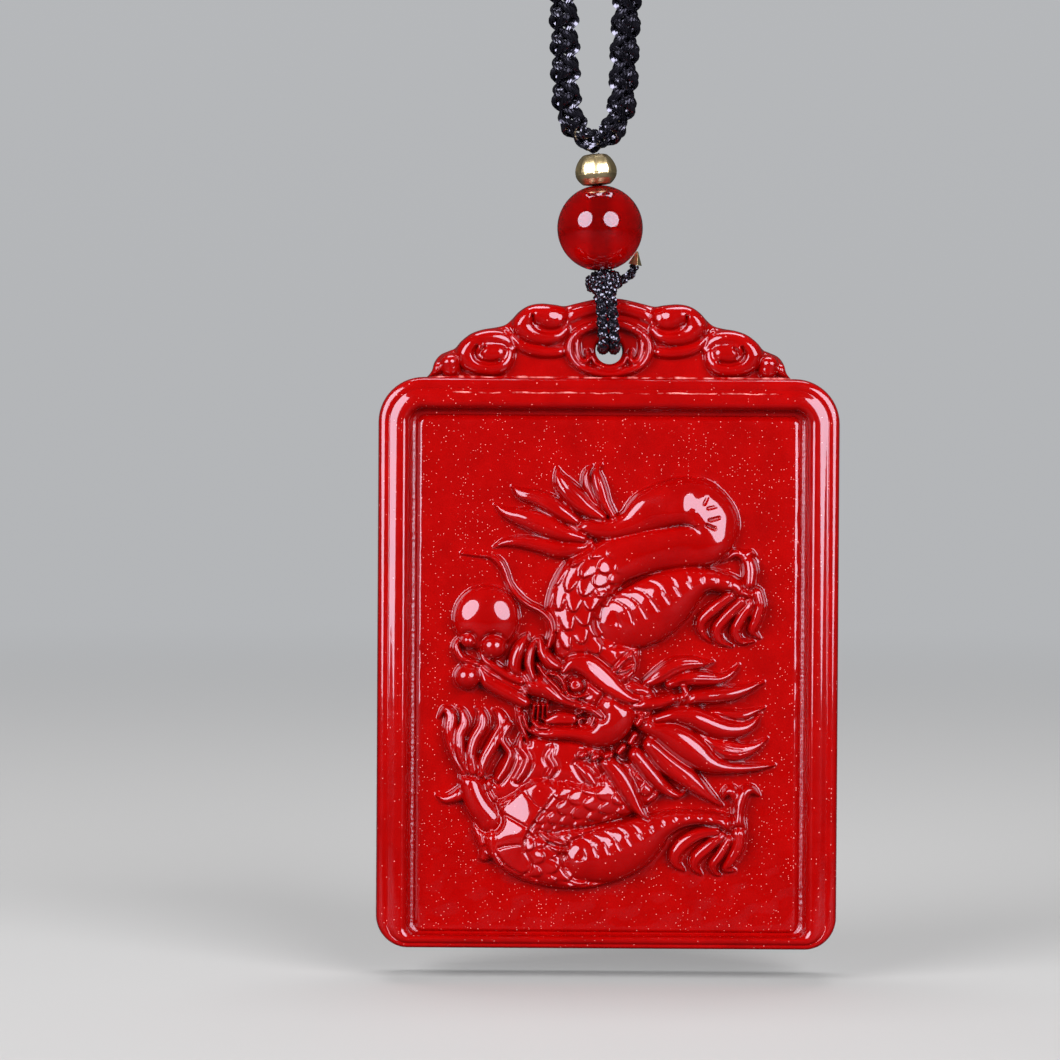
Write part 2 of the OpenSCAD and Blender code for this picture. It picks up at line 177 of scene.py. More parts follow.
def piece_from(name: str, points: np.ndarray, faces: Faces) -> Object:
    """Makes a mesh object at the origin.

    Args:
        name: The piece's name.
        points: Its points in millimetres, one row each.
        faces: The point numbers of each face.

    Returns:
        The new object.
    """
    mesh = bpy.data.meshes.new(name)
    mesh.from_pydata((points * MM).tolist(), [], faces)
    mesh.update()
    piece = bpy.data.objects.new(name, mesh)
    bpy.context.collection.objects.link(piece)
    return piece


def smooth(piece: Object, angle: float | None = None) -> None:
    """Shades a piece smooth.

    Args:
        piece: The object to shade.
        angle: The angle in degrees past which an edge stays sharp, or nothing for none.
    """
    activate(piece)
    if angle is None:
        bpy.ops.object.shade_smooth()
    else:
        bpy.ops.object.shade_smooth_by_angle(angle=math.radians(angle))
    deselect()


def dress(piece: Object, material: Material, body: Body, node: str) -> None:
    """Gives a piece its material and body, and hides the CAD node that it stands for.

    Args:
        piece: The finished piece.
        material: Its material.
        body: The body that it rides on.
        node: The CAD node that it replaces.
    """
    piece.data.materials.clear()
    piece.data.materials.append(material)
    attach(piece, body.value)
    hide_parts(node)
    log.info("%s: %d triangles", piece.name, sum(len(p.vertices) - 2 for p in piece.data.polygons))


# Finishes


class Board:
    """A node tree while it is put together."""

    def __init__(self, tree: NodeTree) -> None:
        """Takes the tree that is filled."""
        self.tree = tree

    def feed(self, node: Node, inputs: dict) -> None:
        """Fills a node's inputs.

        Args:
            node: The node.
            inputs: Plain values or output sockets, by the input's name or number.
        """
        for name, value in inputs.items():
            if isinstance(value, NodeSocket):
                self.tree.links.new(value, node.inputs[name])
            else:
                node.inputs[name].default_value = value

    def add(self, kind: str, inputs: dict | None = None, **settings: object) -> Node:
        """Adds a node.

        Args:
            kind: The node's type name after ShaderNode.
            inputs: Plain values or output sockets, by the input's name or number.
            settings: Its own properties.

        Returns:
            The new node.
        """
        node = self.tree.nodes.new("ShaderNode" + kind)
        for name, value in settings.items():
            setattr(node, name, value)
        self.feed(node, inputs or {})
        return node

    def maths(self, operation: str, *numbers: object, clamp: bool = False) -> NodeSocket:
        """Adds a calculation with one or two numbers and gives its result."""
        return self.add("Math", dict(enumerate(numbers)), operation=operation, use_clamp=clamp).outputs[0]

    def mix(self, share: object, first: object, second: object, way: str = "MIX") -> NodeSocket:
        """Mixes two colours, with a share of the second one."""
        inputs = {"Factor": share, 6: first, 7: second}
        return self.add("Mix", inputs, data_type="RGBA", blend_type=way).outputs[2]

    def ease(self, value: NodeSocket, low: float, high: float, start: float = 0.0,
             end: float = 1.0) -> NodeSocket:
        """Turns a value into a soft step from start to end, as it goes from low to high."""
        inputs = {"Value": value, "From Min": low, "From Max": high, "To Min": start, "To Max": end}
        return self.add("MapRange", inputs, interpolation_type="SMOOTHSTEP").outputs[0]


def new_group(name: str, numbers: dict[str, float], outputs: tuple[str, ...]) -> NodeTree:
    """Starts a shader node group with a Vector input.

    Args:
        name: The group's name.
        numbers: Its other inputs with their default numbers.
        outputs: Its outputs, all numbers.

    Returns:
        The group, with its input and output nodes.
    """
    group = bpy.data.node_groups.new(name, "ShaderNodeTree")
    group.interface.new_socket("Vector", in_out="INPUT", socket_type="NodeSocketVector")
    for label, default in numbers.items():
        socket = group.interface.new_socket(label, in_out="INPUT", socket_type="NodeSocketFloat")
        socket.default_value = default
    for label in outputs:
        group.interface.new_socket(label, in_out="OUTPUT", socket_type="NodeSocketFloat")
    group.nodes.new("NodeGroupInput")
    group.nodes.new("NodeGroupOutput")
    return group


def uneven_group() -> NodeTree:
    """Builds the group that varies a value between two limits, in soft clouds.

    Returns:
        The group, with Vector, Scale, Low and High in and Value and Height out.
    """
    group = new_group("uneven", {"Scale": 1, "Low": 0, "High": 1}, ("Value", "Height"))
    board = Board(group)
    source = group.nodes["Group Input"].outputs
    noise = board.add("TexNoise", {"Vector": source["Vector"], "Scale": source["Scale"], "Detail": 4.0})
    ranged = board.add("MapRange", {"Value": noise.outputs["Fac"], "From Min": 0.3, "From Max": 0.7,
                                    "To Min": source["Low"], "To Max": source["High"]})
    board.feed(group.nodes["Group Output"], {"Value": ranged.outputs["Result"],
                                             "Height": noise.outputs["Fac"]})
    return group


def fleck_group() -> NodeTree:
    """Builds the group that scatters small flecks through a solid.

    Returns:
        The group, with Vector, Scale, Share and Size in and Mask out.
    """
    group = new_group("flecks", {"Scale": 1, "Share": 0.3, "Size": 0.1}, ("Mask",))
    board = Board(group)
    source = group.nodes["Group Input"].outputs
    cells = board.add("TexVoronoi", {"Vector": source["Vector"], "Scale": source["Scale"]})
    parts = board.add("SeparateColor", {"Color": cells.outputs["Color"]})
    chosen = board.maths("LESS_THAN", parts.outputs[0], source["Share"])
    grown = board.maths("MULTIPLY", source["Size"], parts.outputs[1])
    edge = board.add("MapRange", {"Value": cells.outputs["Distance"], "From Min": grown, "From Max": 0.0,
                                  "To Min": 0.0, "To Max": 1.0})
    spot = board.maths("MULTIPLY", edge.outputs["Result"], 1.6, clamp=True)
    board.feed(group.nodes["Group Output"], {"Mask": board.maths("MULTIPLY", spot, chosen)})
    return group


class Effects:
    """The shared node groups, each built once."""

    def __init__(self) -> None:
        """Builds the groups."""
        self.uneven = uneven_group()
        self.flecks = fleck_group()

    def vary(self, board: Board, place: NodeSocket, scale: float, low: float = 0.0,
             high: float = 1.0) -> NodeSocket:
        """Gives a value that varies between two limits, with scale clouds to a millimetre."""
        inputs = {"Vector": place, "Scale": scale, "Low": low, "High": high}
        return board.add("Group", inputs, node_tree=self.uneven).outputs["Value"]

    def grain(self, board: Board, place: NodeSocket, scale: float) -> NodeSocket:
        """Gives the height of a bump with scale clouds to a millimetre."""
        return board.add("Group", {"Vector": place, "Scale": scale}, node_tree=self.uneven).outputs["Height"]

    def scatter(self, board: Board, place: NodeSocket, scale: float, share: NodeSocket,
                size: float) -> NodeSocket:
        """Gives the mask of flecks in a share of the cells, with scale cells to a millimetre."""
        inputs = {"Vector": place, "Scale": scale, "Share": share, "Size": size}
        return board.add("Group", inputs, node_tree=self.flecks).outputs["Mask"]


@dataclass(frozen=True)
class Finish:
    """A surface finish: what every finish has, and the sockets that stay the same all over."""

    name: str = "finish"
    constants: tuple[tuple[str, object], ...] = ()
    # Clouds to a millimetre in its tone and in its roughness, and the roughness's limits
    tone_scale: float = 1.0
    rough_scale: float = 1.0
    rough: tuple[float, float] = (0.3, 0.4)

    def start(self) -> tuple[Material, Board, Node, NodeSocket]:
        """Starts the material.

        Returns:
            The material, its board, its shader and its place in millimetres.
        """
        material = bpy.data.materials.new(self.name)
        material.use_nodes = True
        board = Board(material.node_tree)
        shader = material.node_tree.nodes["Principled BSDF"]
        board.feed(shader, dict(self.constants))
        place = board.add("TexCoord").outputs["Object"]
        scaled = board.add("Mapping", {"Vector": place, "Scale": (1 / MM, 1 / MM, 1 / MM)})
        return material, board, shader, scaled.outputs[0]

    def roughness(self, board: Board, place: NodeSocket, effects: Effects) -> NodeSocket:
        """Gives the uneven roughness."""
        return effects.vary(board, place, self.rough_scale, *self.rough)


@dataclass(frozen=True)
class Cinnabar(Finish):
    """Moulded cinnabar under clear lacquer, with fine pale flecks.

    It reads three numbers from a piece's points: flecks is the share of the cells with a fleck, the second
    number is how far the colour is painted pale in patches, a painted highlight, and grit is how rough the
    ground is.
    """

    name: str = "cinnabar"
    deep: Tone = (0.255, 0.0003, 0.0002, 1)
    bright: Tone = (0.315, 0.0006, 0.0004, 1)
    fleck: Tone = (0.9, 0.29, 0.23, 1)
    tone_scale: float = 0.35
    rough_scale: float = 1.4
    rough: tuple[float, float] = (0.16, 0.26)
    fleck_cells: float = 4.4
    fleck_size: float = 0.31
    fleck_rise: float = 0.03
    # Scale and lower limit of the patches of painted highlight
    highlight_patch_scale: float = 1.1
    highlight_patch_low: float = -0.5
    grit_scale: float = 3.2
    swell_scale: float = 0.5
    swell_rise: float = 0.12
    bump_strength: float = 0.5
    bump_depth: float = 0.0001
    # How far the shading leans, for a tablet that hangs a little turned in the photograph
    lean: Point = (-0.045, 0.0, 0.056)
    constants: tuple[tuple[str, object], ...] = (
        ("Coat Weight", 1.0), ("Coat Roughness", 0.03), ("Coat IOR", 1.5), ("Specular IOR Level", 0.03),
        ("Subsurface Weight", 0.06), ("Subsurface Radius", (0.0008, 0.0001, 0.0001)),
        ("Subsurface Scale", 1.0),
    )

    def build(self, effects: Effects) -> Material:
        """Builds the material.

        Args:
            effects: The shared groups.

        Returns:
            The material.
        """
        material, board, shader, place = self.start()
        flecks, painted_highlight, grit = (board.add("Attribute", attribute_name=name).outputs["Fac"]
                                for name in ("flecks", "painted_highlight", "grit"))
        spots = effects.scatter(board, place, self.fleck_cells, flecks, self.fleck_size)
        # Painted highlight: the marked points are painted pale in patches
        patches = effects.vary(board, place, self.highlight_patch_scale, self.highlight_patch_low)
        painted_highlight_mask = board.maths("MULTIPLY", patches, painted_highlight, clamp=True)
        body = board.mix(effects.vary(board, place, self.tone_scale), self.deep, self.bright)
        gritty = board.maths("MULTIPLY", effects.grain(board, place, self.grit_scale), grit)
        soft = board.maths("MULTIPLY", effects.grain(board, place, self.swell_scale), self.swell_rise)
        height = board.maths("ADD", soft, board.maths("MULTIPLY", spots, self.fleck_rise))
        leaned = board.add("VectorMath", {0: board.add("NewGeometry").outputs["Normal"], 1: self.lean},
                           operation="ADD").outputs[0]
        even = board.add("VectorMath", {0: leaned}, operation="NORMALIZE").outputs[0]
        bump = board.add("Bump", {"Height": board.maths("ADD", height, gritty),
                                  "Strength": self.bump_strength, "Distance": self.bump_depth,
                                  "Normal": even}).outputs["Normal"]
        # The flecks and the painted highlight share the pale fleck colour
        board.feed(shader, {"Base Color": board.mix(board.maths("MAXIMUM", spots, painted_highlight_mask), body, self.fleck),
                            "Roughness": self.roughness(board, place, effects), "Normal": bump,
                            "Coat Normal": bump})
        return material


@dataclass(frozen=True)
class TwoTone(Finish):
    """A finish that drifts between two tones, with uneven roughness and a fine grain."""

    first: Tone = (0.5, 0.5, 0.5, 1)
    second: Tone = (0.5, 0.5, 0.5, 1)
    tone_most: float = 1.0
    grain_scale: float = 9.0
    grain_strength: float = 0.15
    grain_depth: float = 0.00005

    def build(self, effects: Effects) -> Material:
        """Builds the material.

        Args:
            effects: The shared groups.

        Returns:
            The material.
        """
        material, board, shader, place = self.start()
        tint = effects.vary(board, place, self.tone_scale, 0.0, self.tone_most)
        bump = board.add("Bump", {"Height": effects.grain(board, place, self.grain_scale),
                                  "Strength": self.grain_strength, "Distance": self.grain_depth})
        board.feed(shader, {"Base Color": board.mix(tint, self.first, self.second),
                            "Roughness": self.roughness(board, place, effects),
                            "Normal": bump.outputs["Normal"]})
        return material


@dataclass(frozen=True)
class BlackCord(TwoTone):
    """Black cord of fine shiny threads."""

    name: str = "black_cord"
    first: Tone = (0.0008, 0.0007, 0.001, 1)
    second: Tone = (0.004, 0.0035, 0.005, 1)
    tone_scale: float = 4.0
    rough_scale: float = 6.0
    rough: tuple[float, float] = (0.12, 0.24)
    grain_scale: float = 18.0
    grain_depth: float = 0.00003
    constants: tuple[tuple[str, object], ...] = (
        ("Specular IOR Level", 0.8), ("Specular Tint", (0.92, 0.86, 1.0, 1)), ("Coat Weight", 0.6),
        ("Coat Roughness", 0.07),
    )


@dataclass(frozen=True)
class PaleGold(TwoTone):
    """Polished pale gold with faint wear."""

    name: str = "pale_gold"
    first: Tone = (1.0, 0.8, 0.4, 1)
    second: Tone = (0.92, 0.66, 0.26, 1)
    tone_scale: float = 1.2
    tone_most: float = 0.8
    rough_scale: float = 3.0
    constants: tuple[tuple[str, object], ...] = (
        ("Metallic", 1.0), ("Coat Weight", 1.0), ("Coat Roughness", 0.05), ("Coat IOR", 1.6),
    )


@dataclass(frozen=True)
class Agate(Finish):
    """Polished translucent red agate. Its lower part is painted brighter, a painted glow that stands in for
    the light gathered in the stone. A band down its bore is painted darker, painted shade that stands in for
    the cord seen through it.
    """

    name: str = "red_agate"
    deep: Tone = (0.27, 0.0, 0.0, 1)
    clear: Tone = (0.36, 0.0, 0.0, 1)
    # The painted glow: the brighter red painted on the lower part
    low: Tone = (0.8, 0.001, 0.0005, 1)
    tone_scale: float = 0.25
    rough_scale: float = 0.8
    rough: tuple[float, float] = (0.01, 0.03)
    # Heights between which the painted glow of the lower part fades out, and the bore, down which a darker
    # band is painted as painted shade of the cord seen through the stone
    painted_glow_full_z: float = -312.4
    painted_glow_end_z: float = -308.6
    bore_x: float = 0.6
    painted_bore_shade_reach: tuple[float, float] = (0.5, 1.5)
    # The painted shade that darkens the band down the bore
    bore: Tone = (0.62, 0.62, 0.62, 1)
    constants: tuple[tuple[str, object], ...] = (
        ("IOR", 1.54), ("Transmission Weight", 0.35), ("Subsurface Weight", 1.0),
        ("Subsurface Radius", (0.003, 0.0001, 0.0001)), ("Subsurface Scale", 1.0), ("Coat Weight", 0.0),
    )

    def build(self, effects: Effects) -> Material:
        """Builds the material.

        Args:
            effects: The shared groups.

        Returns:
            The material.
        """
        material, board, shader, place = self.start()
        body = board.mix(effects.vary(board, place, self.tone_scale), self.deep, self.clear)
        parts = board.add("SeparateXYZ", {0: place}).outputs
        # Painted glow: the colour is painted brighter towards the bottom
        colour = board.mix(board.ease(parts["Z"], self.painted_glow_full_z, self.painted_glow_end_z), self.low, body)
        # Painted shade: a darker band is painted down the bore
        away = board.maths("ABSOLUTE", board.maths("SUBTRACT", parts["X"], self.bore_x))
        shade = board.mix(board.ease(away, *self.painted_bore_shade_reach), self.bore, (1, 1, 1, 1))
        board.feed(shader, {"Base Color": board.mix(1.0, colour, shade, "MULTIPLY"),
                            "Roughness": self.roughness(board, place, effects)})
        return material


def bounced(board: Board) -> NodeSocket:
    """Tells the light that has left the piece from the light that comes straight to the eye.

    Args:
        board: The node tree.

    Returns:
        The output that is 1 after a bounce or a pass through glass.
    """
    path = board.add("LightPath").outputs
    first = board.maths("ADD", path["Is Diffuse Ray"], path["Is Glossy Ray"], clamp=True)
    return board.maths("ADD", first, path["Is Transmission Ray"], clamp=True)


@dataclass(frozen=True)
class Paper(Finish):
    """The plain pale floor. It fades into the backdrop far off, and gives back little light to the piece."""

    name: str = "pale_floor"
    tone: Tone = (0.55, 0.53, 0.435, 1)
    shade: Tone = (0.03, 0.03, 0.03, 1)
    far: Tone = (0.95, 0.97, 1.0, 1)
    far_bounce: float = 0.02
    near_mm: float = 130.0
    far_mm: float = 850.0
    constants: tuple[tuple[str, object], ...] = (("Roughness", 0.7), ("Specular IOR Level", 0.2))

    def build(self, backdrop: float) -> Material:
        """Builds the material.

        Args:
            backdrop: The brightness that the floor fades to.

        Returns:
            The material.
        """
        material, board, shader, place = self.start()
        bounce = bounced(board)
        board.feed(shader, {"Base Color": board.mix(bounce, self.tone, self.shade)})
        reach = board.add("VectorMath", {0: place}, operation="LENGTH").outputs["Value"]
        glow = board.add("Mix", {"Factor": bounce, 2: backdrop, 3: self.far_bounce}).outputs[0]
        far = board.add("Emission", {"Color": self.far, "Strength": glow}).outputs[0]
        both = board.add("MixShader", {0: board.ease(reach, self.near_mm, self.far_mm),
                                       1: shader.outputs[0], 2: far})
        board.feed(material.node_tree.nodes["Material Output"], {"Surface": both.outputs[0]})
        return material


# Studio


@dataclass
class Studio:
    """The camera, two round soft lights, a long weak one above, and the floor."""

    pixels_per_mm: float = 10.81
    frame_px: float = 1060.0
    distance: float = 330.0
    elevation: float = 1.0
    middle: Point = (-5.78, -4.0, -336.73)
    sensor: float = 36.0
    roll: float = 0.35
    # What the camera sees, in metres
    clip: tuple[float, float] = (0.01, 50.0)
    # Each light: azimuth, elevation, watts
    lamps: tuple[Point, ...] = ((-44.0, 21.0, 12.5), (31.0, 21.5, 12.5))
    lamp_distance: float = 900.0
    lamp_radius: float = 330.0
    lamp_tint: Point = (0.86, 0.88, 1.07)
    above: Point = (4.0, 104.0, 5.0)
    above_size: tuple[float, float] = (640.0, 300.0)
    # Room for the lowest corner when the tablet swings
    floor_gap: float = 3.0
    floor_size: float = 9000.0
    # The air's brightness at the horizon, higher up, and as light on the piece
    backdrop: float = 0.48
    sky: float = 0.52
    sky_from: float = 0.4
    surround: float = 0.045
    air: Tone = (0.95, 0.97, 1.0, 1)

    def hang(self, data: Camera | Light, azimuth: float, elevation: float, reach: float) -> Object:
        """Puts a camera or a light in the scene, turned to the middle of the view.

        Args:
            data: The camera's or light's data.
            azimuth: Degrees round from straight in front, to the right.
            elevation: Degrees above the horizon.
            reach: The distance in millimetres.

        Returns:
            The new object.
        """
        a, e = math.radians(azimuth), math.radians(elevation)
        way = Vector((math.sin(a) * math.cos(e), -math.cos(a) * math.cos(e), math.sin(e)))
        thing = bpy.data.objects.new(data.name, data)
        thing.location = (Vector(self.middle) + way * reach) * MM
        aim = Vector(self.middle) * MM - thing.location
        thing.rotation_euler = aim.to_track_quat("-Z", "Y").to_euler()
        bpy.context.collection.objects.link(thing)
        return thing

    def camera(self) -> None:
        """Sets the camera at the photograph's angle and scale."""
        data = bpy.data.cameras.new("camera")
        data.sensor_width = self.sensor
        data.lens = self.sensor * self.distance * self.pixels_per_mm / self.frame_px
        data.clip_start, data.clip_end = self.clip
        camera = self.hang(data, 0, self.elevation, self.distance)
        camera.rotation_euler.rotate_axis("Z", math.radians(self.roll))
        bpy.context.scene.camera = camera

    def lights(self) -> None:
        """Hangs the two round lights and the long one above."""
        for number, (azimuth, elevation, power) in enumerate(self.lamps + (self.above,)):
            data = bpy.data.lights.new(f"soft_light_{number}", "AREA")
            data.shape = "DISK"
            data.size = 2 * self.lamp_radius * MM
            if number == len(self.lamps):
                data.shape = "RECTANGLE"
                data.size, data.size_y = (side * MM for side in self.above_size)
            data.energy = power
            data.color = self.lamp_tint
            self.hang(data, azimuth, elevation, self.lamp_distance)

    def surroundings(self) -> None:
        """Makes the pale air behind the piece, which gives little light to it."""
        world = bpy.data.worlds.new("studio")
        world.use_nodes = True
        board = Board(world.node_tree)
        way = board.add("TexCoord").outputs["Generated"]
        height = board.add("SeparateXYZ", {0: way}).outputs["Z"]
        high = board.ease(height, 0.0, self.sky_from, self.backdrop, self.sky)
        strength = board.add("Mix", {"Factor": bounced(board), 2: high, 3: self.surround}).outputs[0]
        board.feed(world.node_tree.nodes["Background"], {"Color": self.air, "Strength": strength})
        bpy.context.scene.world = world
        bpy.context.scene.view_settings.view_transform = "Standard"

    def floor(self) -> None:
        """Lays the pale floor under the tablet."""
        deselect()
        height = (FOOT_Z - self.floor_gap) * MM
        bpy.ops.mesh.primitive_plane_add(size=self.floor_size * MM, location=(0, 0, height))
        floor = bpy.context.active_object
        floor.name = "floor"
        floor.data.materials.append(Paper().build(self.backdrop))
        settle(floor)

    def build(self) -> None:
        """Sets up the camera, the lights, the air and the floor."""
        self.camera()
        self.lights()
        self.surroundings()
        self.floor()


# Cords


def spline(around: tuple[np.ndarray, ...], t: np.ndarray) -> np.ndarray:
    """Finds points on the smooth curve between the second and third of four points.

    Args:
        around: The four points.
        t: The shares of the way, one a row.

    Returns:
        The points.
    """
    p0, p1, p2, p3 = around
    return 0.5 * (2 * p1 + (p2 - p0) * t + (2 * p0 - 5 * p1 + 4 * p2 - p3) * t**2
                  + (3 * p1 - p0 - 3 * p2 + p3) * t**3)


def smooth_route(points: np.ndarray, steps: int, closed: bool = False) -> np.ndarray:
    """Puts more points between a route's own, on a smooth curve through them.

    Args:
        points: The route, one row a point.
        steps: New points for each stretch.
        closed: Whether the route comes back to its start.

    Returns:
        The finer route.
    """
    count = len(points)
    t = np.linspace(0, 1, steps, endpoint=False)[:, None]
    out = []
    for i in range(count if closed else count - 1):
        around = (points[k % count] if closed else points[min(max(k, 0), count - 1)]
                  for k in range(i - 1, i + 3))
        out.append(spline(tuple(around), t))
    return np.vstack(out if closed else out + [points[-1:]])


def route_length(route: np.ndarray) -> float:
    """Measures a route."""
    return float(np.linalg.norm(np.diff(route, axis=0), axis=1).sum())


def even_route(points: np.ndarray, start: float, stop: float, step: float) -> tuple[np.ndarray, np.ndarray]:
    """Walks along a route in even steps.

    Args:
        points: The route.
        start: The length along it where the walk starts.
        stop: The length where it stops.
        step: The longest step.

    Returns:
        The points and the length along the route at each.
    """
    lengths = np.concatenate([[0], np.cumsum(np.linalg.norm(np.diff(points, axis=0), axis=1))])
    at = np.linspace(start, stop, max(2, int(abs(stop - start) / step) + 2))
    return np.column_stack([np.interp(at, lengths, points[:, k]) for k in range(3)]), at


def unit(rows: np.ndarray) -> np.ndarray:
    """Scales each row to a length of one."""
    return rows / np.linalg.norm(rows, axis=1, keepdims=True)


def frames_along(path: np.ndarray, side: np.ndarray) -> tuple[np.ndarray, np.ndarray]:
    """Carries a cross-section's two directions along a path without twist.

    Args:
        path: The path.
        side: A direction that is about square to the path's start.

    Returns:
        The two unit directions square to the path at each point.
    """
    heading = unit(np.gradient(path, axis=0))
    across = np.zeros_like(path)
    now = side - heading[0] * (side @ heading[0])
    for i, h in enumerate(heading):
        now = now - h * (now @ h)
        now = now / np.linalg.norm(now)
        across[i] = now
    return across, np.cross(heading, across)


def tube(path: np.ndarray, radius: np.ndarray, sides: int, flat: float,
         lay: np.ndarray) -> tuple[np.ndarray, Faces]:
    """Makes the points and faces of a round or oval tube with closed ends.

    Args:
        path: Its middle line.
        radius: Its half width at each point.
        sides: Its number of sides.
        flat: Its half thickness as a share of its half width.
        lay: The direction of its thickness at each point.

    Returns:
        The points and the faces.
    """
    heading = unit(np.gradient(path, axis=0))
    thin_way = unit(lay - heading * np.sum(lay * heading, axis=1, keepdims=True))
    wide_way = np.cross(heading, thin_way)
    turn = np.linspace(0, 2 * np.pi, sides, endpoint=False)[:, None]
    ring = wide_way[:, None] * np.cos(turn) - flat * thin_way[:, None] * np.sin(turn)
    points = path[:, None] + radius[:, None, None] * ring
    return points.reshape(-1, 3), ring_faces(len(path), sides)


@dataclass
class Braid:
    """A round braid of eight plies, four wound each way, each over two and under two."""

    radius: float = 1.42
    lay: float = 5.0
    threads: int = 1
    sides: int = 6
    rings: int = 12
    ply_half: float = 0.43
    ply_flat: float = 0.72
    wave: float = 0.22
    twist: float = 1.7
    plies: int = 8
    # How much narrower a ply is underneath, how thick its threads are, and how far they bulge
    pinch: float = 0.22
    thread_pack: float = 3.2
    bulge: float = 1.1

    def ply(self, path: np.ndarray, at: np.ndarray, squeeze: np.ndarray, side: np.ndarray,
            number: int) -> list[tuple[np.ndarray, Faces]]:
        """Winds one ply round the path.

        Args:
            path: The braid's middle line.
            at: The length along the cord at each point.
            squeeze: The share of its full width at each point.
            side: A direction square to the path's start.
            number: The ply's number, from 0.

        Returns:
            The points and faces of each thread.
        """
        way = 1 if number % 2 == 0 else -1
        pair = number // 2
        across, out = frames_along(path, side)
        turn = way * (2 * np.pi * at / self.lay) + way * np.pi * pair / 2
        over = np.cos(2 * turn - np.pi * (pair % 2) - (0 if way > 0 else np.pi / 2))
        middle = self.radius - self.ply_half * self.ply_flat - self.wave
        radial = across * np.cos(turn)[:, None] + out * np.sin(turn)[:, None]
        centre = path + radial * ((middle + self.wave * over) * squeeze)[:, None]
        width = self.ply_half * (1 - self.pinch + self.pinch * over) * squeeze
        if self.threads == 1:
            return [tube(centre, width, self.sides, self.ply_flat, radial)]
        wide = unit(np.cross(unit(np.gradient(centre, axis=0)), radial))
        size = width / (1.0 + self.threads / self.thread_pack)
        found = []
        for j in range(self.threads):
            spin = 2 * np.pi * (j / self.threads + way * at / self.twist)
            line = (centre + wide * ((width - size) * np.cos(spin))[:, None]
                    + radial * ((width - size) * self.ply_flat * self.bulge * np.sin(spin))[:, None])
            found.append(tube(line, size, self.sides, 1.0, radial))
        return found

    def piece(self, name: str, route: np.ndarray, start: float = 0.0, stop: float | None = None,
              phase: float = 0.0, squeeze_at: Callable[[np.ndarray], np.ndarray] = np.ones_like,
              side: Point = (0, 1, 0)) -> Object:
        """Makes one stretch of braid.

        Args:
            name: The piece's name.
            route: The cord's route.
            start: Where along the route the stretch starts.
            stop: Where it stops, or nothing for the route's end.
            phase: The length along the cord at the route's start.
            squeeze_at: Gives the share of full width for lengths along the cord.
            side: A direction square to the route's start.

        Returns:
            The piece.
        """
        stop = route_length(route) if stop is None else stop
        path, at = even_route(route, start, stop, self.lay / self.rings)
        at = at + phase
        points, faces, shift = [], [], 0
        for number in range(self.plies):
            for p, f in self.ply(path, at, squeeze_at(at), np.array(side, float), number):
                points.append(p)
                faces.extend(tuple(k + shift for k in face) for face in f)
                shift += len(p)
        piece = piece_from(name, np.vstack(points), faces)
        smooth(piece, 70)
        return piece


@dataclass
class NeckCord:
    """The braided neck cord, one closed loop whose low bend sits on the gold bead."""

    # One half of the loop's middle line, from its low bend to its top: distance from the middle, height
    loop_half: Pairs = (
        (0, -300.42), (1.35, -299.75), (2.25, -298.1), (2.65, -296), (2.85, -290), (3.4, -280),
        (4.6, -260), (6.6, -220), (8.5, -180), (10.1, -140), (11.7, -100), (13.1, -60),
        (14.5, -25), (14.8, -13), (13.6, -7), (10.6, -2.5), (5.9, 0.5), (0, 1.4),
    )
    # How far each way from the low bend every thread is made
    fine_reach: float = 22.0
    lay_wanted: float = 5.0
    # At the low bend: the share of full width, how far along that goes, how far the sides cross, and how high
    bend_width: float = 0.78
    bend_reach: float = 2.6
    bend_depth: float = 0.45
    bend_height: float = 5.0

    def route(self) -> np.ndarray:
        """Works out the closed route, from the low bend up the right side and back down the left.

        Returns:
            The route, whose last point is its first.
        """
        half = [(x, 0.0, z) for x, z in self.loop_half]
        other = [(-x, 0.0, z) for x, z in self.loop_half[-2:0:-1]]
        loop = smooth_route(np.array(half + other, float), 24, closed=True)
        low = loop[:, 2].min()
        loop[:, 1] = (self.bend_depth * np.tanh(loop[:, 0])
                      * np.exp(-(((loop[:, 2] - low) / self.bend_height) ** 2)))
        return np.vstack([loop, loop[:1]])

    def squeeze(self, at: np.ndarray) -> np.ndarray:
        """Gives the share of full width along the cord: less where it is drawn down on the bead."""
        return 1 - (1 - self.bend_width) * np.exp(-((at / self.bend_reach) ** 2))

    def build(self, material: Material) -> None:
        """Makes the fine stretch near the beads and the plain rest of the loop.

        Args:
            material: The cord's material.
        """
        loop = self.route()
        total = route_length(loop)
        lay = total / round(total / self.lay_wanted)
        log.info("neck cord: %.0f mm round", total)
        twice = np.vstack([loop, loop[1:]])
        near = Braid(lay=lay, threads=6, sides=4, rings=32).piece(
            "neck_cord_near", twice, total - self.fine_reach, total + self.fine_reach, -total, self.squeeze)
        rest = Braid(lay=lay).piece(
            "neck_cord_loop", twice, self.fine_reach, total - self.fine_reach, squeeze_at=self.squeeze)
        for piece in (near, rest):
            dress(piece, material, Body.STRING, "neck_cord")


def on_string(at: float, across: float = 0.0, depth: float = 0.0) -> np.ndarray:
    """Finds a point on the leaning string of beads: its distance from the hole, to the right and behind."""
    return HOLE + np.array([-math.sin(LEAN) * at + math.cos(LEAN) * across, depth,
                            math.cos(LEAN) * at + math.sin(LEAN) * across])


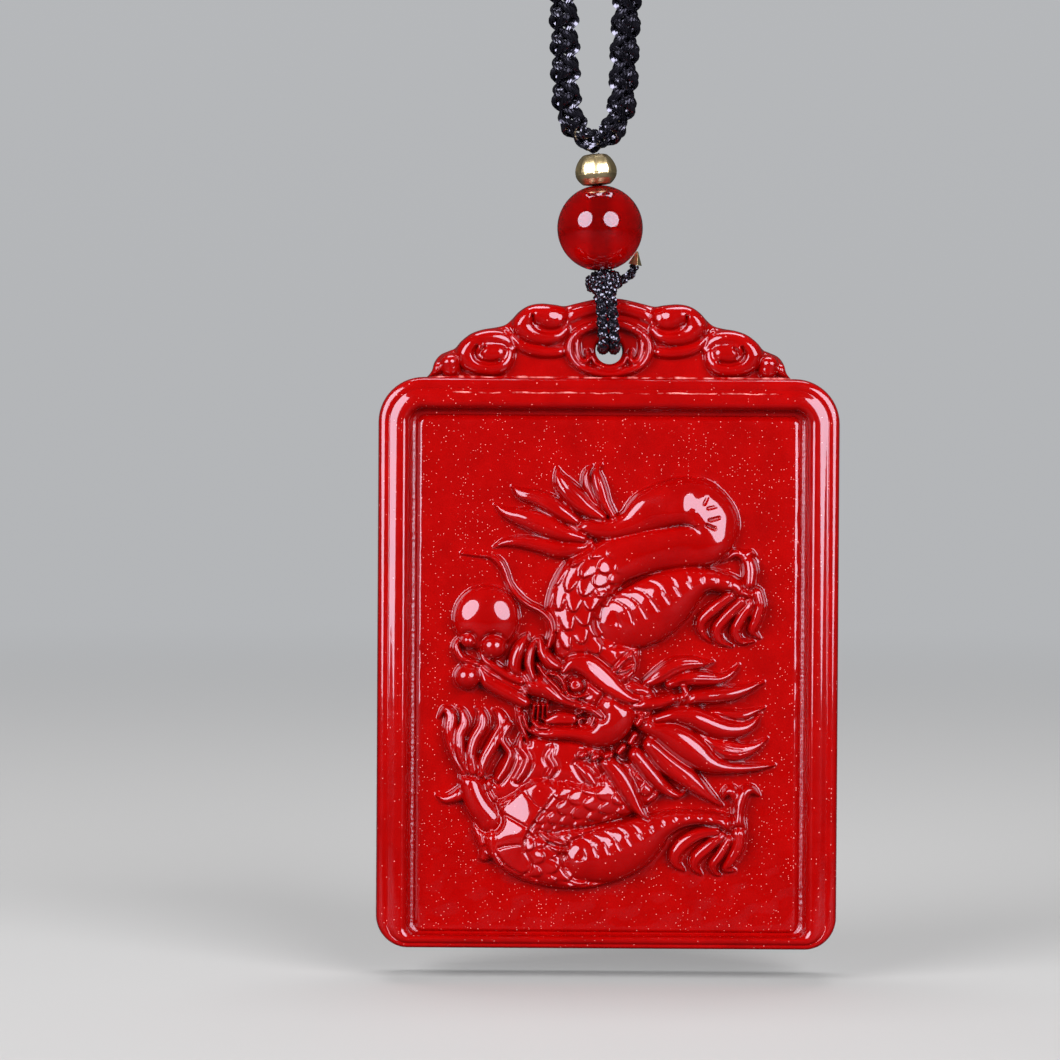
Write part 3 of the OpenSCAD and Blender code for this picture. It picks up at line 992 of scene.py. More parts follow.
@dataclass
class HangingCord:
    """The thin cord: through both beads, a barrel knot, two strands through the tablet's hole, and a tail."""

    strand_r: float = 0.54
    strand_phase: float = 0.4
    overlap: float = 0.03
    knot_at: float = 5.45
    knot_h: float = 1.95
    knot_r: float = 1.78
    knot_cord_r: float = 0.42
    knot_turns: float = 3.0
    # How much the knot narrows at its ends, and how far its turns lean
    knot_taper: float = 0.2
    knot_slant: float = 0.14
    core_r: float = 1.25
    core_inset: tuple[float, float] = (0.2, 0.1)
    thread_end: float = 18.35
    thread_r: float = 0.6
    tail_r: float = 0.45
    swing_up: float = 0.25
    # Depth and height above the hole, from inside the knot over the crest to the hole
    strand_half: Pairs = (
        (0.3, 6.5), (1.5, 6.2), (2.4, 5.6), (3.1, 4.5), (3.45, 3.2), (3.5, 2), (3.4, 1.1), (2.9, 0.5),
        (2, 0.25),
    )
    # From inside the knot to its end, beside the hole: across, depth, height
    tail: tuple[Point, ...] = ((0.2, 0.8, 6.6), (1.15, 1.7, 6.7), (2.05, 2.25, 7.3), (2.42, 2.45, 8.1))

    def braid(self, radius: float) -> Braid:
        """Gives the fine braid of the thin cord for a half width."""
        return Braid(radius=radius, lay=radius * 4.0, threads=3, sides=4, rings=20, ply_half=radius * 0.4,
                     ply_flat=0.65, wave=radius * 0.12, twist=radius * 1.6)

    def strand(self, side: int) -> np.ndarray:
        """Works out one strand's route, from the knot's front through the hole to its back.

        Args:
            side: -1 for the left strand and 1 for the right one.

        Returns:
            The route.
        """
        shift = side * (self.strand_r - self.overlap)
        front = [(HOLE[0] + shift - math.tan(LEAN) * h, -d, HOLE[2] + h) for d, h in self.strand_half]
        middle = [(HOLE[0] + shift, 0.0, HOLE[2] + self.swing_up)]
        back = [(x, -y, z) for x, y, z in front[::-1]]
        return smooth_route(np.array(front + middle + back, float), 12)

    def turns(self) -> np.ndarray:
        """Works out the route of the knot's turns.

        Returns:
            The route, a coil that leans a little in each turn.
        """
        cord = self.knot_cord_r
        t = np.linspace(0, 1, 120)
        angle = 2 * np.pi * self.knot_turns * t + 0.6
        reach = self.knot_r - cord - self.knot_taper * np.abs(2 * t - 1) ** 3
        up = self.knot_at + cord + (self.knot_h - 2 * cord) * t + self.knot_slant * np.sin(angle)
        return np.array([on_string(u, r * math.cos(a), r * math.sin(a)) for u, r, a in zip(up, reach, angle)])

    def build(self, material: Material) -> None:
        """Makes the strands, the knot, the thread in the beads and the tail.

        Args:
            material: The cord's material.
        """
        low, high = self.core_inset
        core = np.array([on_string(self.knot_at + low), on_string(self.knot_at + self.knot_h - high)])
        thread = np.array([on_string(self.knot_at), on_string(self.thread_end)])
        tail = smooth_route(np.array([HOLE + np.array(p) for p in self.tail]), 8)
        for name, radius, route, phase, side in (
            ("strand_left", self.strand_r, self.strand(-1), -self.strand_phase, (1, 0, 0)),
            ("strand_right", self.strand_r, self.strand(1), self.strand_phase, (1, 0, 0)),
            ("barrel_knot", self.knot_cord_r, self.turns(), 0.0, (0, 0, 1)),
            ("knot_core", self.core_r, core, 0.0, (0, 1, 0)),
            ("bead_thread", self.thread_r, thread, 0.0, (0, 1, 0)),
            ("cord_tail", self.tail_r, tail, 0.0, (0, 1, 0)),
        ):
            piece = self.braid(radius).piece(name, route, phase=phase, side=side)
            dress(piece, material, Body.STRING, "hanging_cord")


# Beads


@dataclass
class Beads:
    """The agate bead and the gold bead on the leaning string, and the gold tip of the tail."""

    agate_at: float = 11.5
    agate_r: float = 4.0
    agate_sides: int = 96
    agate_rings: int = 64
    bore_r: float = 0.75
    gold_at: float = 15.6
    facets: int = 9
    facet_points: int = 8
    # A facet's distance from the middle, as a share of a true polygon's
    facet_reach: float = 1.028
    # Gold bead's section, from its foot up: half width, height, and the share of the cut facets in it
    section: tuple[Point, ...] = (
        (0.95, -0.06, 0), (1.3, 0.0, 0), (1.55, 0.22, 0), (1.76, 0.48, 0), (1.88, 0.72, 0), (1.93, 0.9, 0),
        (1.93, 0.96, 0.7), (1.955, 1.08, 1), (1.95, 1.3, 1), (1.9, 1.55, 1), (1.8, 1.85, 1), (1.64, 2.15, 1),
        (1.42, 2.45, 1), (1.18, 2.68, 0.6), (1.08, 2.74, 0.1), (0.95, 2.77, 0),
    )
    # The bore inside it, from its top down
    bore: tuple[Point, ...] = ((0.75, 2.7, 0), (0.75, 0.04, 0))
    tip_r: float = 0.72
    tip_end_r: float = 0.1
    tip_h: float = 1.3
    tip_bevel: float = 0.05
    tip_from_hole: Point = (2.46, 2.45, 8.2)
    tip_turn: Point = (5, 8, 20)

    def stand(self, piece: Object, at: float) -> None:
        """Leans a piece made upright at the origin and moves it to its place on the string.

        Args:
            piece: The piece.
            at: Its distance along the string from the hole.
        """
        piece.rotation_euler = (0, -LEAN, 0)
        piece.location = on_string(at) * MM
        settle(piece)

    def agate(self, material: Material) -> None:
        """Makes the drilled agate bead from a ball whose poles are opened and joined by the bore.

        Args:
            material: The agate's material.
        """
        deselect()
        bpy.ops.mesh.primitive_uv_sphere_add(segments=self.agate_sides, ring_count=self.agate_rings,
                                             radius=self.agate_r * MM)
        bead = bpy.context.active_object
        bead.name = "agate"
        bpy.ops.object.mode_set(mode="EDIT")
        mesh = bmesh.from_edit_mesh(bead.data)
        doomed = [v for v in mesh.verts if math.hypot(v.co.x, v.co.y) < self.bore_r * MM * 0.98]
        bmesh.ops.delete(mesh, geom=doomed, context="VERTS")
        for vert in [v for v in mesh.verts if v.is_boundary]:
            share = self.bore_r * MM / math.hypot(vert.co.x, vert.co.y)
            vert.co.x *= share
            vert.co.y *= share
        for edge in mesh.edges:
            edge.select_set(edge.is_boundary)
        bmesh.update_edit_mesh(bead.data)
        bpy.ops.mesh.bridge_edge_loops(number_cuts=6)
        face_outward(bead)
        self.stand(bead, self.agate_at)
        smooth(bead, 60)
        dress(bead, material, Body.STRING, "agate_bead")

    def gold(self, material: Material) -> None:
        """Makes the gold bead: a smooth bowl, a fine step, and upright cut facets that round in to the top.

        Args:
            material: The gold's material.
        """
        fine = self.facets * self.facet_points
        half = np.pi / self.facets
        angle = np.linspace(0, 2 * np.pi, fine, endpoint=False)
        within = np.mod(angle + 0.5 * np.pi, 2 * half) - half
        flat = np.minimum(self.facet_reach * np.cos(half) / np.cos(within), 1.0)
        rings = []
        for reach, up, share in self.section + self.bore:
            r = reach * (1 - share + share * flat)
            rings.append(np.column_stack([r * np.cos(angle), r * np.sin(angle), np.full(fine, up)]))
        bead = piece_from("gold_ball", np.vstack(rings), ring_faces(len(rings), fine, looped=True))
        self.stand(bead, self.gold_at)
        smooth(bead, 12)
        dress(bead, material, Body.STRING, "gold_bead")

    def tip(self, material: Material) -> None:
        """Makes the small folded gold cap on the tail's end.

        Args:
            material: The gold's material.
        """
        deselect()
        bpy.ops.mesh.primitive_cone_add(vertices=4, radius1=self.tip_r * MM, radius2=self.tip_end_r * MM,
                                        depth=self.tip_h * MM, location=(0, 0, self.tip_h / 2 * MM))
        cap = bpy.context.active_object
        cap.name = "tail_cap"
        bevel = cap.modifiers.new("bevel", "BEVEL")
        bevel.width = self.tip_bevel * MM
        bevel.segments = 2
        apply_modifiers(cap)
        settle(cap)
        cap.rotation_euler = [math.radians(turn) for turn in self.tip_turn]
        cap.location = (HOLE + np.array(self.tip_from_hole)) * MM
        settle(cap)
        smooth(cap, 25)
        dress(cap, material, Body.STRING, "tail_tip")


# Carving


class Skin(Enum):
    """The surface that is cut into a raised form."""

    PLAIN = "plain"
    SCALES = "scales"
    HAIR = "hair"
    RINGS = "rings"
    CLAW = "claw"


class Join(Enum):
    """How a form meets what is already there."""

    OVER = "over"
    MELD = "meld"
    CARVE = "carve"


@dataclass(frozen=True)
class Form:
    """One form of the carving: a rounded ridge along a smooth line.

    rows hold across, up, half width, rise and, where it has one, the slope up to the right of its way. edge
    is the share of the rise at which its side wall starts, full and square are the roundness of its section,
    cut how deep it is let into what lies behind it, pitch the length of one scale or ring, strands the number
    of hairs side by side, depth how deep the pattern is, lean how far its rings bow, start where along it the
    pattern starts, and band the share of its width from left to right with pattern.
    """

    rows: tuple[tuple[float, ...], ...]
    skin: Skin = Skin.PLAIN
    join: Join = Join.OVER
    edge: float = 0.45
    full: float = 0.5
    cut: float = 0.45
    pitch: float = 0.95
    strands: int = 3
    depth: float = 0.1
    lean: float = 0.0
    square: float = 2.0
    start: float = 0.0
    band: tuple[float, float] = (-1.0, 1.0)

    def mirrored(self) -> Form:
        """Gives the same form on the other side of the middle line."""
        return replace(self, rows=tuple((-r[0], *r[1:]) for r in self.rows))

    def line(self, step: float = 0.18) -> np.ndarray:
        """Puts more rows between its own, on a smooth curve.

        Args:
            step: How far apart they are, in millimetres.

        Returns:
            The rows, each with a slope.
        """
        rows = np.array([tuple(row) + (0.0,) * (5 - len(row)) for row in self.rows], float)
        counts = [max(2, int(np.linalg.norm(b - a) / step) + 1) for a, b in zip(rows[:-1, :2], rows[1:, :2])]
        if len(rows) < 3:
            share = np.linspace(0.0, 1.0, counts[0])[:, None]
            return rows[0] * (1 - share) + rows[1] * share
        ends = np.vstack([2 * rows[0] - rows[1], rows, 2 * rows[-1] - rows[-2]])
        out = [spline(tuple(ends[k : k + 4]), np.linspace(0.0, 1.0, count, endpoint=False)[:, None])
               for k, count in enumerate(counts)]
        points = np.vstack(out + [rows[-1:]])
        points[:, 2] = np.maximum(points[:, 2], 0.05)
        return points


@dataclass(frozen=True)
class Place:
    """Where each point of a window lies in a form.

    share is its share of the way from the middle line to the edge, run its place along the line, side 1 to
    the right of it and -1 to the left, and width, rise and slope are the form's there. whole is the line's
    length.
    """

    share: np.ndarray
    run: np.ndarray
    side: np.ndarray
    width: np.ndarray
    rise: np.ndarray
    slope: np.ndarray
    whole: float


def soft_step(share: np.ndarray) -> np.ndarray:
    """Turns shares of the way into a soft step from 0 to 1."""
    share = np.clip(share, 0, 1)
    return share * share * (3 - 2 * share)


def scales(along: np.ndarray, across: np.ndarray) -> np.ndarray:
    """Lays overlapping pointed scales, one to a unit each way.

    Args:
        along: The places along the rows of scales.
        across: The places across them.

    Returns:
        The height, from 0 at a scale's root to 1 at its free tip.
    """
    out = np.zeros_like(along)
    done = np.zeros(along.shape, bool)
    for back in (1, 0, -1):
        row = np.floor(along) - back
        shift = 0.5 * np.mod(row, 2)
        a = along - row
        b = np.abs(across - np.round(across - shift) - shift)
        side = 0.5 * np.sqrt(np.clip(1 - np.maximum(a - 0.3, 0) ** 2, 0, 1))
        mine = (b < side) & (a > 0) & ~done
        out[mine] = np.clip(a[mine] / 1.3, 0, 1) ** 1.4 * (1 - 1.6 * b[mine] ** 2)
        done |= mine
    return out


class Carving:
    """A height field on a grid, built up form by form from the back to the front."""

    MARGIN = 0.6
    # Half widths of the soft edge of a carved form and of a raised one
    CARVE_EDGE = 0.14
    RAISED_EDGE = 0.16
    # How far two melded forms flow together
    FLOW = 0.35
    # The groove round a form that lies over others: its depth and width, and the height with its full depth
    MOAT = 0.22
    MOAT_FROM = 0.8
    # How fast a form is let in from its edge
    LET_IN = 0.6
    # A pattern's way in along the line and at its band's sides, and a scale's width
    FADE_ALONG = 1.5
    FADE_ACROSS = 0.12
    SCALE_WIDTH = 0.85
    # Hairs run out at the root and at the tip
    HAIR_ROOT = 0.8
    HAIR_TIP = 0.6
    # Half width of the groove between rings, in millimetres, and the share of the width that it crosses
    RING_GROOVE = 0.1
    RING_REACH = 0.85
    # Where a claw's groove lies across it, and its half width
    CLAW_AT = -0.15
    CLAW_GROOVE = 0.18

    def __init__(self, low: tuple[float, float], high: tuple[float, float], step: float) -> None:
        """Lays out the flat grid.

        Args:
            low: Its lowest place across and up.
            high: Its highest place.
            step: The distance between its points.
        """
        self.step = step
        self.u = np.arange(low[0], high[0] + step / 2, step)
        self.v = np.arange(low[1], high[1] + step / 2, step)
        self.z = np.zeros((len(self.v), len(self.u)))

    def window(self, points: np.ndarray) -> tuple[slice, slice]:
        """Finds the part of the grid that a form may touch.

        Args:
            points: The form's line.

        Returns:
            The rows and the columns.
        """
        reach = points[:, 2] + self.MARGIN
        found = [slice(*np.searchsorted(grid, [(middle - reach).min(), (middle + reach).max()]))
                 for grid, middle in ((self.v, points[:, 1]), (self.u, points[:, 0]))]
        return found[0], found[1]

    def measure(self, points: np.ndarray, area: tuple[slice, slice]) -> Place:
        """Finds the nearest part of a form's line for each grid point.

        Args:
            points: The form's line.
            area: The window.

        Returns:
            The place of each point.
        """
        uu, vv = np.meshgrid(self.u[area[1]], self.v[area[0]])
        share = np.full(uu.shape, 1e9)
        run, side, rise, slope = (np.zeros_like(uu) for _ in range(4))
        width = np.ones_like(uu)
        gone = 0.0
        for a, b in zip(points[:-1], points[1:]):
            d = b[:2] - a[:2]
            length = float(np.hypot(*d)) or 1e-6
            px, py = uu - a[0], vv - a[1]
            t = np.clip((px * d[0] + py * d[1]) / length**2, 0, 1)
            w, r, lift = (a[k] + t * (b[k] - a[k]) for k in (2, 3, 4))
            n = np.hypot(px - t * d[0], py - t * d[1]) / w
            near = n < share
            turned = np.sign(px * d[1] - py * d[0])
            for kept, new in ((share, n), (run, gone + t * length), (side, turned), (width, w), (rise, r),
                              (slope, lift)):
                kept[near] = new[near]
            gone += length
        return Place(share, run, side, width, rise, slope, gone)

    def skin(self, form: Form, at: Place) -> np.ndarray:
        """Works out the height that the surface pattern adds.

        Args:
            form: The form.
            at: The place of each point in it.

        Returns:
            The height in millimetres.
        """
        q = np.clip(at.share, 0, 1) * at.side
        arc = np.arcsin(np.clip(q, -1, 1)) * at.width
        shown = np.clip((at.run - form.start) / self.FADE_ALONG, 0, 1) if form.start else 1.0
        for room in (q - form.band[0], form.band[1] - q):
            shown = shown * np.clip(room / self.FADE_ACROSS + 1, 0, 1)
        if form.skin is Skin.SCALES:
            cut = scales(at.run / form.pitch, arc / form.pitch * self.SCALE_WIDTH)
            return form.depth * (cut - 0.4) * shown
        if form.skin is Skin.HAIR:
            ease = np.clip(at.run / self.HAIR_ROOT, 0, 1) * np.clip((at.whole - at.run) / self.HAIR_TIP, 0, 1)
            return form.depth * (np.abs(np.sin(np.pi * form.strands * (q + 1) / 2)) ** 0.6 - 0.7) * ease
        if form.skin is Skin.RINGS:
            slant = at.run + form.lean * arc * arc
            near = np.abs(np.mod(slant / form.pitch + 0.5, 1) - 0.5) * form.pitch
            groove = np.exp(-((near / self.RING_GROOVE) ** 2))
            return -form.depth * groove * (np.abs(q) < self.RING_REACH) * shown
        if form.skin is Skin.CLAW:
            return -form.depth * np.exp(-(((q - self.CLAW_AT) / self.CLAW_GROOVE) ** 2))
        return np.zeros_like(q)

    def add(self, form: Form) -> None:
        """Puts one form over, into or out of what is there.

        Args:
            form: The form.
        """
        points = form.line()
        area = self.window(points)
        if any(part.stop - part.start < 2 for part in area):
            return
        at = self.measure(points, area)
        behind = self.z[area]
        inside = (1 - at.share) * at.width
        dome = np.clip(1 - np.minimum(at.share, 1) ** form.square, 0, 1) ** form.full
        top = at.rise * (form.edge + (1 - form.edge) * dome)
        top = top + at.slope * np.clip(at.share, 0, 1) * at.side * at.width
        if form.join is Join.CARVE:
            blend = soft_step(0.5 + inside / self.CARVE_EDGE)
            self.z[area] = behind + (np.minimum(behind, top) - behind) * blend
            return
        top = top + self.skin(form, at) * np.clip(dome * 2.5, 0, 1)
        blend = soft_step(0.5 + inside / self.RAISED_EDGE)
        if form.join is Join.MELD:
            h = np.clip(0.5 + 0.5 * (top - behind) / self.FLOW, 0, 1)
            both = behind * (1 - h) + top * h + self.FLOW * h * (1 - h)
            blend = np.where(at.share < 1, 1 - (1 - blend) ** 2, blend)
            self.z[area] = behind + (both - behind) * blend
            return
        moat = self.MOAT * np.exp(-((np.minimum(inside, 0) / self.MOAT) ** 2))
        low = behind - moat * np.clip(behind / self.MOAT_FROM, 0, 1)
        front = np.maximum(top, behind - form.cut - self.LET_IN * np.clip(inside, 0, 1))
        self.z[area] = low + (front - low) * blend

    def soften(self, radius: float) -> None:
        """Rounds every edge a little, as the lacquer does.

        Args:
            radius: How far the rounding reaches.
        """
        half = max(1, int(np.ceil(2.5 * radius / self.step)))
        k = np.exp(-0.5 * (np.arange(-half, half + 1) * self.step / radius) ** 2)
        k /= k.sum()
        padded = np.pad(self.z, half, mode="edge")
        rows = sum(w * padded[i : i + self.z.shape[0], :] for i, w in enumerate(k))
        self.z = sum(w * rows[:, i : i + self.z.shape[1]] for i, w in enumerate(k))


# Dragon. Each row of a form is across, up, half width, rise and, on some, slope, in millimetres on the panel.
# A form later in the order lies over those before it

TAIL_TUFTS = (
    Form(((-1.6, 37.9, 0.5, 0.9), (-2.9, 37.4, 0.78, 1.1), (-4.4, 37.25, 0.85, 1.1), (-6.0, 37.65, 0.75, 1.0),
          (-7.9, 37.95, 0.58, 0.85), (-9.4, 37.85, 0.36, 0.65), (-10.4, 37.45, 0.1, 0.3)), edge=0.3),
    Form(((-0.4, 40.7, 0.3, 1.0), (-1.1, 41.6, 0.42, 1.1), (-1.6, 42.6, 0.45, 1.05), (-1.9, 43.6, 0.42, 0.9),
          (-1.85, 44.4, 0.3, 0.7), (-1.35, 45.1, 0.08, 0.3)), edge=0.3),
    Form(((0.6, 40.4, 0.35, 1.15), (-0.1, 41.5, 0.5, 1.25), (-0.55, 42.7, 0.62, 1.2),
          (-0.85, 43.7, 0.58, 1.05), (-0.95, 44.5, 0.34, 0.75), (-0.5, 45.2, 0.08, 0.3)), Skin.HAIR,
         strands=2, depth=0.12),
    Form(((-0.4, 40.3, 0.45, 1.25), (-1.8, 41.1, 0.8, 1.35), (-2.9, 42.0, 1.05, 1.3),
          (-3.8, 43.0, 0.88, 1.15), (-4.35, 43.9, 0.5, 0.8), (-4.6, 44.85, 0.1, 0.3)), Skin.HAIR, strands=2,
         depth=0.12, edge=0.3),
    Form(((-2.8, 39.9, 0.5, 1.25), (-4.1, 40.65, 0.82, 1.35), (-5.2, 41.4, 0.88, 1.3),
          (-6.5, 42.05, 0.76, 1.1), (-7.9, 42.4, 0.5, 0.8), (-8.75, 43.1, 0.1, 0.3)), Skin.HAIR, strands=2,
         depth=0.1, edge=0.3),
    Form(((-2.2, 38.3, 0.5, 1.25), (-4.2, 38.85, 0.85, 1.4), (-6.0, 39.6, 1.05, 1.35),
          (-7.6, 40.15, 0.92, 1.15), (-9.2, 40.6, 0.52, 0.8), (-10.35, 41.4, 0.1, 0.3)), edge=0.3),
)

BODY_UPPER = (
    Form(((-3.0, 39.65, 0.52, 1.15), (-1.9, 39.3, 0.78, 1.4), (0.1, 39.15, 0.98, 1.55),
          (2.2, 39.75, 1.25, 1.65), (4.1, 41.0, 1.95, 1.8, 0.06), (6.6, 41.75, 2.2, 2.02, 0.17),
          (7.85, 41.72, 2.25, 1.88, 0.23), (8.9, 41.4, 2.3, 1.79, 0.27), (10.0, 39.8, 2.35, 1.79, 0.26),
          (9.2, 38.0, 2.2, 1.93, 0.03), (6.6, 37.45, 2.05, 1.8, 0.1), (3.7, 37.0, 2.05, 1.8, 0.08),
          (0.6, 36.1, 2.25, 1.85), (-1.6, 34.4, 2.75, 1.95), (-2.2, 31.9, 3.3, 2.0), (-1.6, 29.6, 3.6, 1.9),
          (-0.6, 27.4, 3.7, 1.7)), Skin.SCALES, edge=0.3, pitch=1.4, depth=0.36, square=2.6, start=25.0),
    # plates inside the turn
    *(Form(((a, b, 0.09, 1.42), (c, d, 0.09, 1.58)), join=Join.CARVE, edge=1.0)
      for a, b, c, d in ((9.33, 42.2, 9.0, 41.55), (10.15, 41.35, 9.35, 41.15), (10.4, 40.3, 9.5, 40.05),
                         (9.95, 39.25, 9.25, 39.6))),
)

HIND_LEG = (
    Form(((1.2, 30.6, 2.4, 1.5), (3.2, 31.2, 2.95, 1.9), (5.2, 32.4, 2.75, 2.1), (7.0, 33.6, 1.95, 2.05),
          (8.5, 34.35, 1.3, 1.95), (10.1, 34.45, 1.0, 1.85), (11.6, 34.0, 0.95, 1.8), (12.9, 33.0, 1.0, 1.7),
          (13.5, 31.9, 0.9, 1.5)), Skin.RINGS, edge=0.3, pitch=1.25, depth=0.14, lean=0.12,
         band=(-0.95, 0.1)),
    Form(((13.3, 34.2, 0.66, 1.5), (13.35, 35.5, 0.7, 1.4), (13.0, 36.6, 0.56, 1.2), (12.1, 37.0, 0.4, 0.95),
          (11.3, 36.6, 0.26, 0.7), (10.65, 36.15, 0.08, 0.35)), edge=0.3),
    Form(((12.9, 36.9, 0.3, 1.0), (13.4, 37.05, 0.25, 0.8), (13.8, 36.85, 0.1, 0.5)), cut=0.1),
    Form(((14.0, 33.3, 0.55, 1.4), (14.2, 32.1, 0.6, 1.35), (13.9, 30.8, 0.52, 1.2), (13.6, 29.8, 0.38, 0.95),
          (14.3, 29.1, 0.1, 0.4)), Skin.CLAW),
    Form(((13.2, 32.3, 0.55, 1.5), (12.5, 31.0, 0.58, 1.4), (12.0, 29.7, 0.48, 1.2),
          (12.55, 28.8, 0.32, 0.85), (13.8, 28.8, 0.08, 0.35)), Skin.CLAW),
    Form(((12.5, 32.5, 0.55, 1.5), (11.2, 31.2, 0.58, 1.4), (10.3, 29.95, 0.5, 1.2),
          (10.6, 28.85, 0.34, 0.85), (11.8, 28.3, 0.08, 0.35)), Skin.CLAW),
    Form(((11.5, 33.0, 0.5, 1.4), (10.0, 31.85, 0.6, 1.35), (8.9, 30.7, 0.52, 1.15), (8.95, 29.6, 0.34, 0.85),
          (9.85, 28.65, 0.08, 0.35)), Skin.CLAW),
)

LOWER_BODY = (
    # the fin and wrist on the left of the turn
    Form(((-10.4, 15.0, 1.1, 1.3), (-11.0, 13.0, 1.1, 1.35), (-11.0, 11.2, 1.15, 1.3), (-10.6, 9.6, 1.0, 1.1),
          (-11.2, 8.6, 0.4, 0.7)), Skin.SCALES, edge=0.35, pitch=1.2, depth=0.24),
    Form(((3.4, 15.6, 2.0, 1.35), (1.0, 14.9, 2.6, 1.6), (-2.0, 14.4, 2.9, 1.75), (-5.3, 13.7, 3.0, 1.85),
          (-7.7, 12.2, 2.8, 1.95), (-8.5, 10.6, 2.7, 2.0), (-7.2, 9.2, 2.6, 2.0), (-4.6, 8.6, 2.7, 2.0),
          (-1.4, 8.7, 2.8, 2.0), (1.4, 9.5, 2.6, 1.9)),
         Skin.SCALES, edge=0.3, pitch=1.3, depth=0.3, square=2.4),
    # the wide belly band at the turn
    Form(((-4.9, 15.5, 0.7, 1.65), (-6.0, 14.7, 1.1, 1.8, -0.12), (-7.2, 13.6, 1.35, 1.86, -0.24),
          (-8.2, 12.2, 1.4, 1.86, -0.26), (-8.8, 10.7, 1.35, 1.86, -0.24), (-8.6, 9.2, 1.15, 1.8, -0.15),
          (-7.6, 8.1, 0.8, 1.75)),
         Skin.RINGS, edge=0.92, pitch=2.4, depth=0.2, square=4.0, cut=0.3),
    # folds on the haunch
    Form(((-6.0, 11.1, 0.12, 1.7), (-5.2, 10.5, 0.3, 2.1), (-4.3, 10.1, 0.36, 2.15), (-3.6, 9.9, 0.2, 2.0)),
         cut=0.1, edge=0.6),
    Form(((-5.2, 9.9, 0.15, 1.8), (-4.4, 9.5, 0.36, 2.15), (-3.3, 9.35, 0.36, 2.2), (-2.5, 9.7, 0.2, 2.0)),
         cut=0.1, edge=0.6),
)

FORE_LEG = (
    Form(((-1.8, 8.6, 2.2, 1.9), (0.4, 9.0, 2.6, 2.05), (2.4, 9.8, 2.4, 2.15, -0.1), (3.8, 10.7, 1.9, 2.1),
          (5.0, 11.5, 1.35, 2.0), (6.6, 12.2, 0.98, 1.9), (8.4, 12.45, 0.75, 1.85), (10.1, 12.3, 0.72, 1.8),
          (11.5, 11.8, 0.82, 1.75), (12.3, 10.9, 0.85, 1.6)),
         Skin.RINGS, edge=0.3, pitch=1.15, depth=0.14, lean=0.15, band=(-0.95, -0.1)),
    Form(((12.6, 13.3, 0.42, 1.2), (12.2, 14.4, 0.55, 1.25), (11.75, 14.95, 0.5, 1.15),
          (11.2, 14.7, 0.34, 0.9), (11.0, 14.1, 0.1, 0.4)), edge=0.3),
    Form(((12.4, 11.2, 0.8, 1.5), (12.45, 12.6, 0.56, 1.4), (12.6, 13.9, 0.6, 1.35),
          (13.05, 14.85, 0.56, 1.25), (13.7, 15.0, 0.4, 1.0), (14.35, 14.5, 0.1, 0.4)), edge=0.3, cut=0.3),
    Form(((12.4, 10.9, 0.75, 1.5), (12.3, 9.7, 0.66, 1.4), (11.75, 8.6, 0.54, 1.2), (11.3, 7.7, 0.36, 0.9),
          (12.15, 7.5, 0.08, 0.35)), Skin.CLAW),
    Form(((11.4, 10.4, 0.5, 1.45), (10.75, 9.1, 0.5, 1.35), (10.1, 8.1, 0.44, 1.15), (10.3, 7.3, 0.25, 0.7),
          (10.8, 7.05, 0.08, 0.35)), Skin.CLAW),
    Form(((10.8, 10.8, 0.5, 1.45), (9.6, 9.75, 0.6, 1.4), (8.6, 8.8, 0.56, 1.25), (8.35, 7.85, 0.4, 0.9),
          (9.0, 7.1, 0.1, 0.35)), Skin.CLAW),
    Form(((10.4, 11.2, 0.45, 1.35), (8.8, 10.95, 0.62, 1.35), (7.4, 10.15, 0.7, 1.3), (6.6, 9.1, 0.62, 1.2),
          (6.65, 8.15, 0.42, 0.9), (7.4, 7.45, 0.1, 0.35)), Skin.CLAW),
)

PAW = (
    Form(((-12.6, 15.0, 0.8, 1.2), (-13.6, 14.4, 0.6, 1.0), (-14.7, 14.0, 0.42, 0.8),
          (-15.6, 14.35, 0.1, 0.35)), edge=0.3),
    Form(((-12.3, 17.2, 1.0, 1.4), (-12.35, 15.7, 1.15, 1.55, 0.1), (-11.8, 13.9, 1.25, 1.55, 0.1),
          (-10.7, 12.2, 1.3, 1.4)), full=0.6, edge=0.3),
    Form(((-12.9, 16.7, 0.55, 1.4), (-13.95, 18.6, 0.6, 1.35), (-14.35, 20.4, 0.62, 1.3),
          (-14.3, 21.8, 0.52, 1.1), (-14.9, 22.35, 0.3, 0.8), (-15.5, 21.5, 0.08, 0.35)), Skin.CLAW),
    Form(((-12.6, 16.8, 0.5, 1.5), (-13.35, 18.3, 0.52, 1.45), (-13.5, 19.9, 0.52, 1.35),
          (-13.05, 21.1, 0.5, 1.2), (-13.25, 22.1, 0.3, 0.85), (-13.7, 22.6, 0.08, 0.35)), Skin.CLAW),
    Form(((-11.6, 16.5, 0.55, 1.5), (-11.1, 17.9, 0.6, 1.45), (-10.2, 19.5, 0.64, 1.35),
          (-9.5, 20.8, 0.6, 1.2), (-9.8, 21.9, 0.38, 0.85), (-10.4, 22.35, 0.1, 0.35)), Skin.CLAW),
    Form(((-12.2, 16.7, 0.5, 1.55), (-12.4, 18.2, 0.54, 1.5), (-12.1, 19.6, 0.58, 1.45),
          (-11.4, 20.9, 0.58, 1.3), (-11.45, 22.0, 0.4, 0.95), (-12.0, 22.5, 0.1, 0.35)), Skin.CLAW),
)

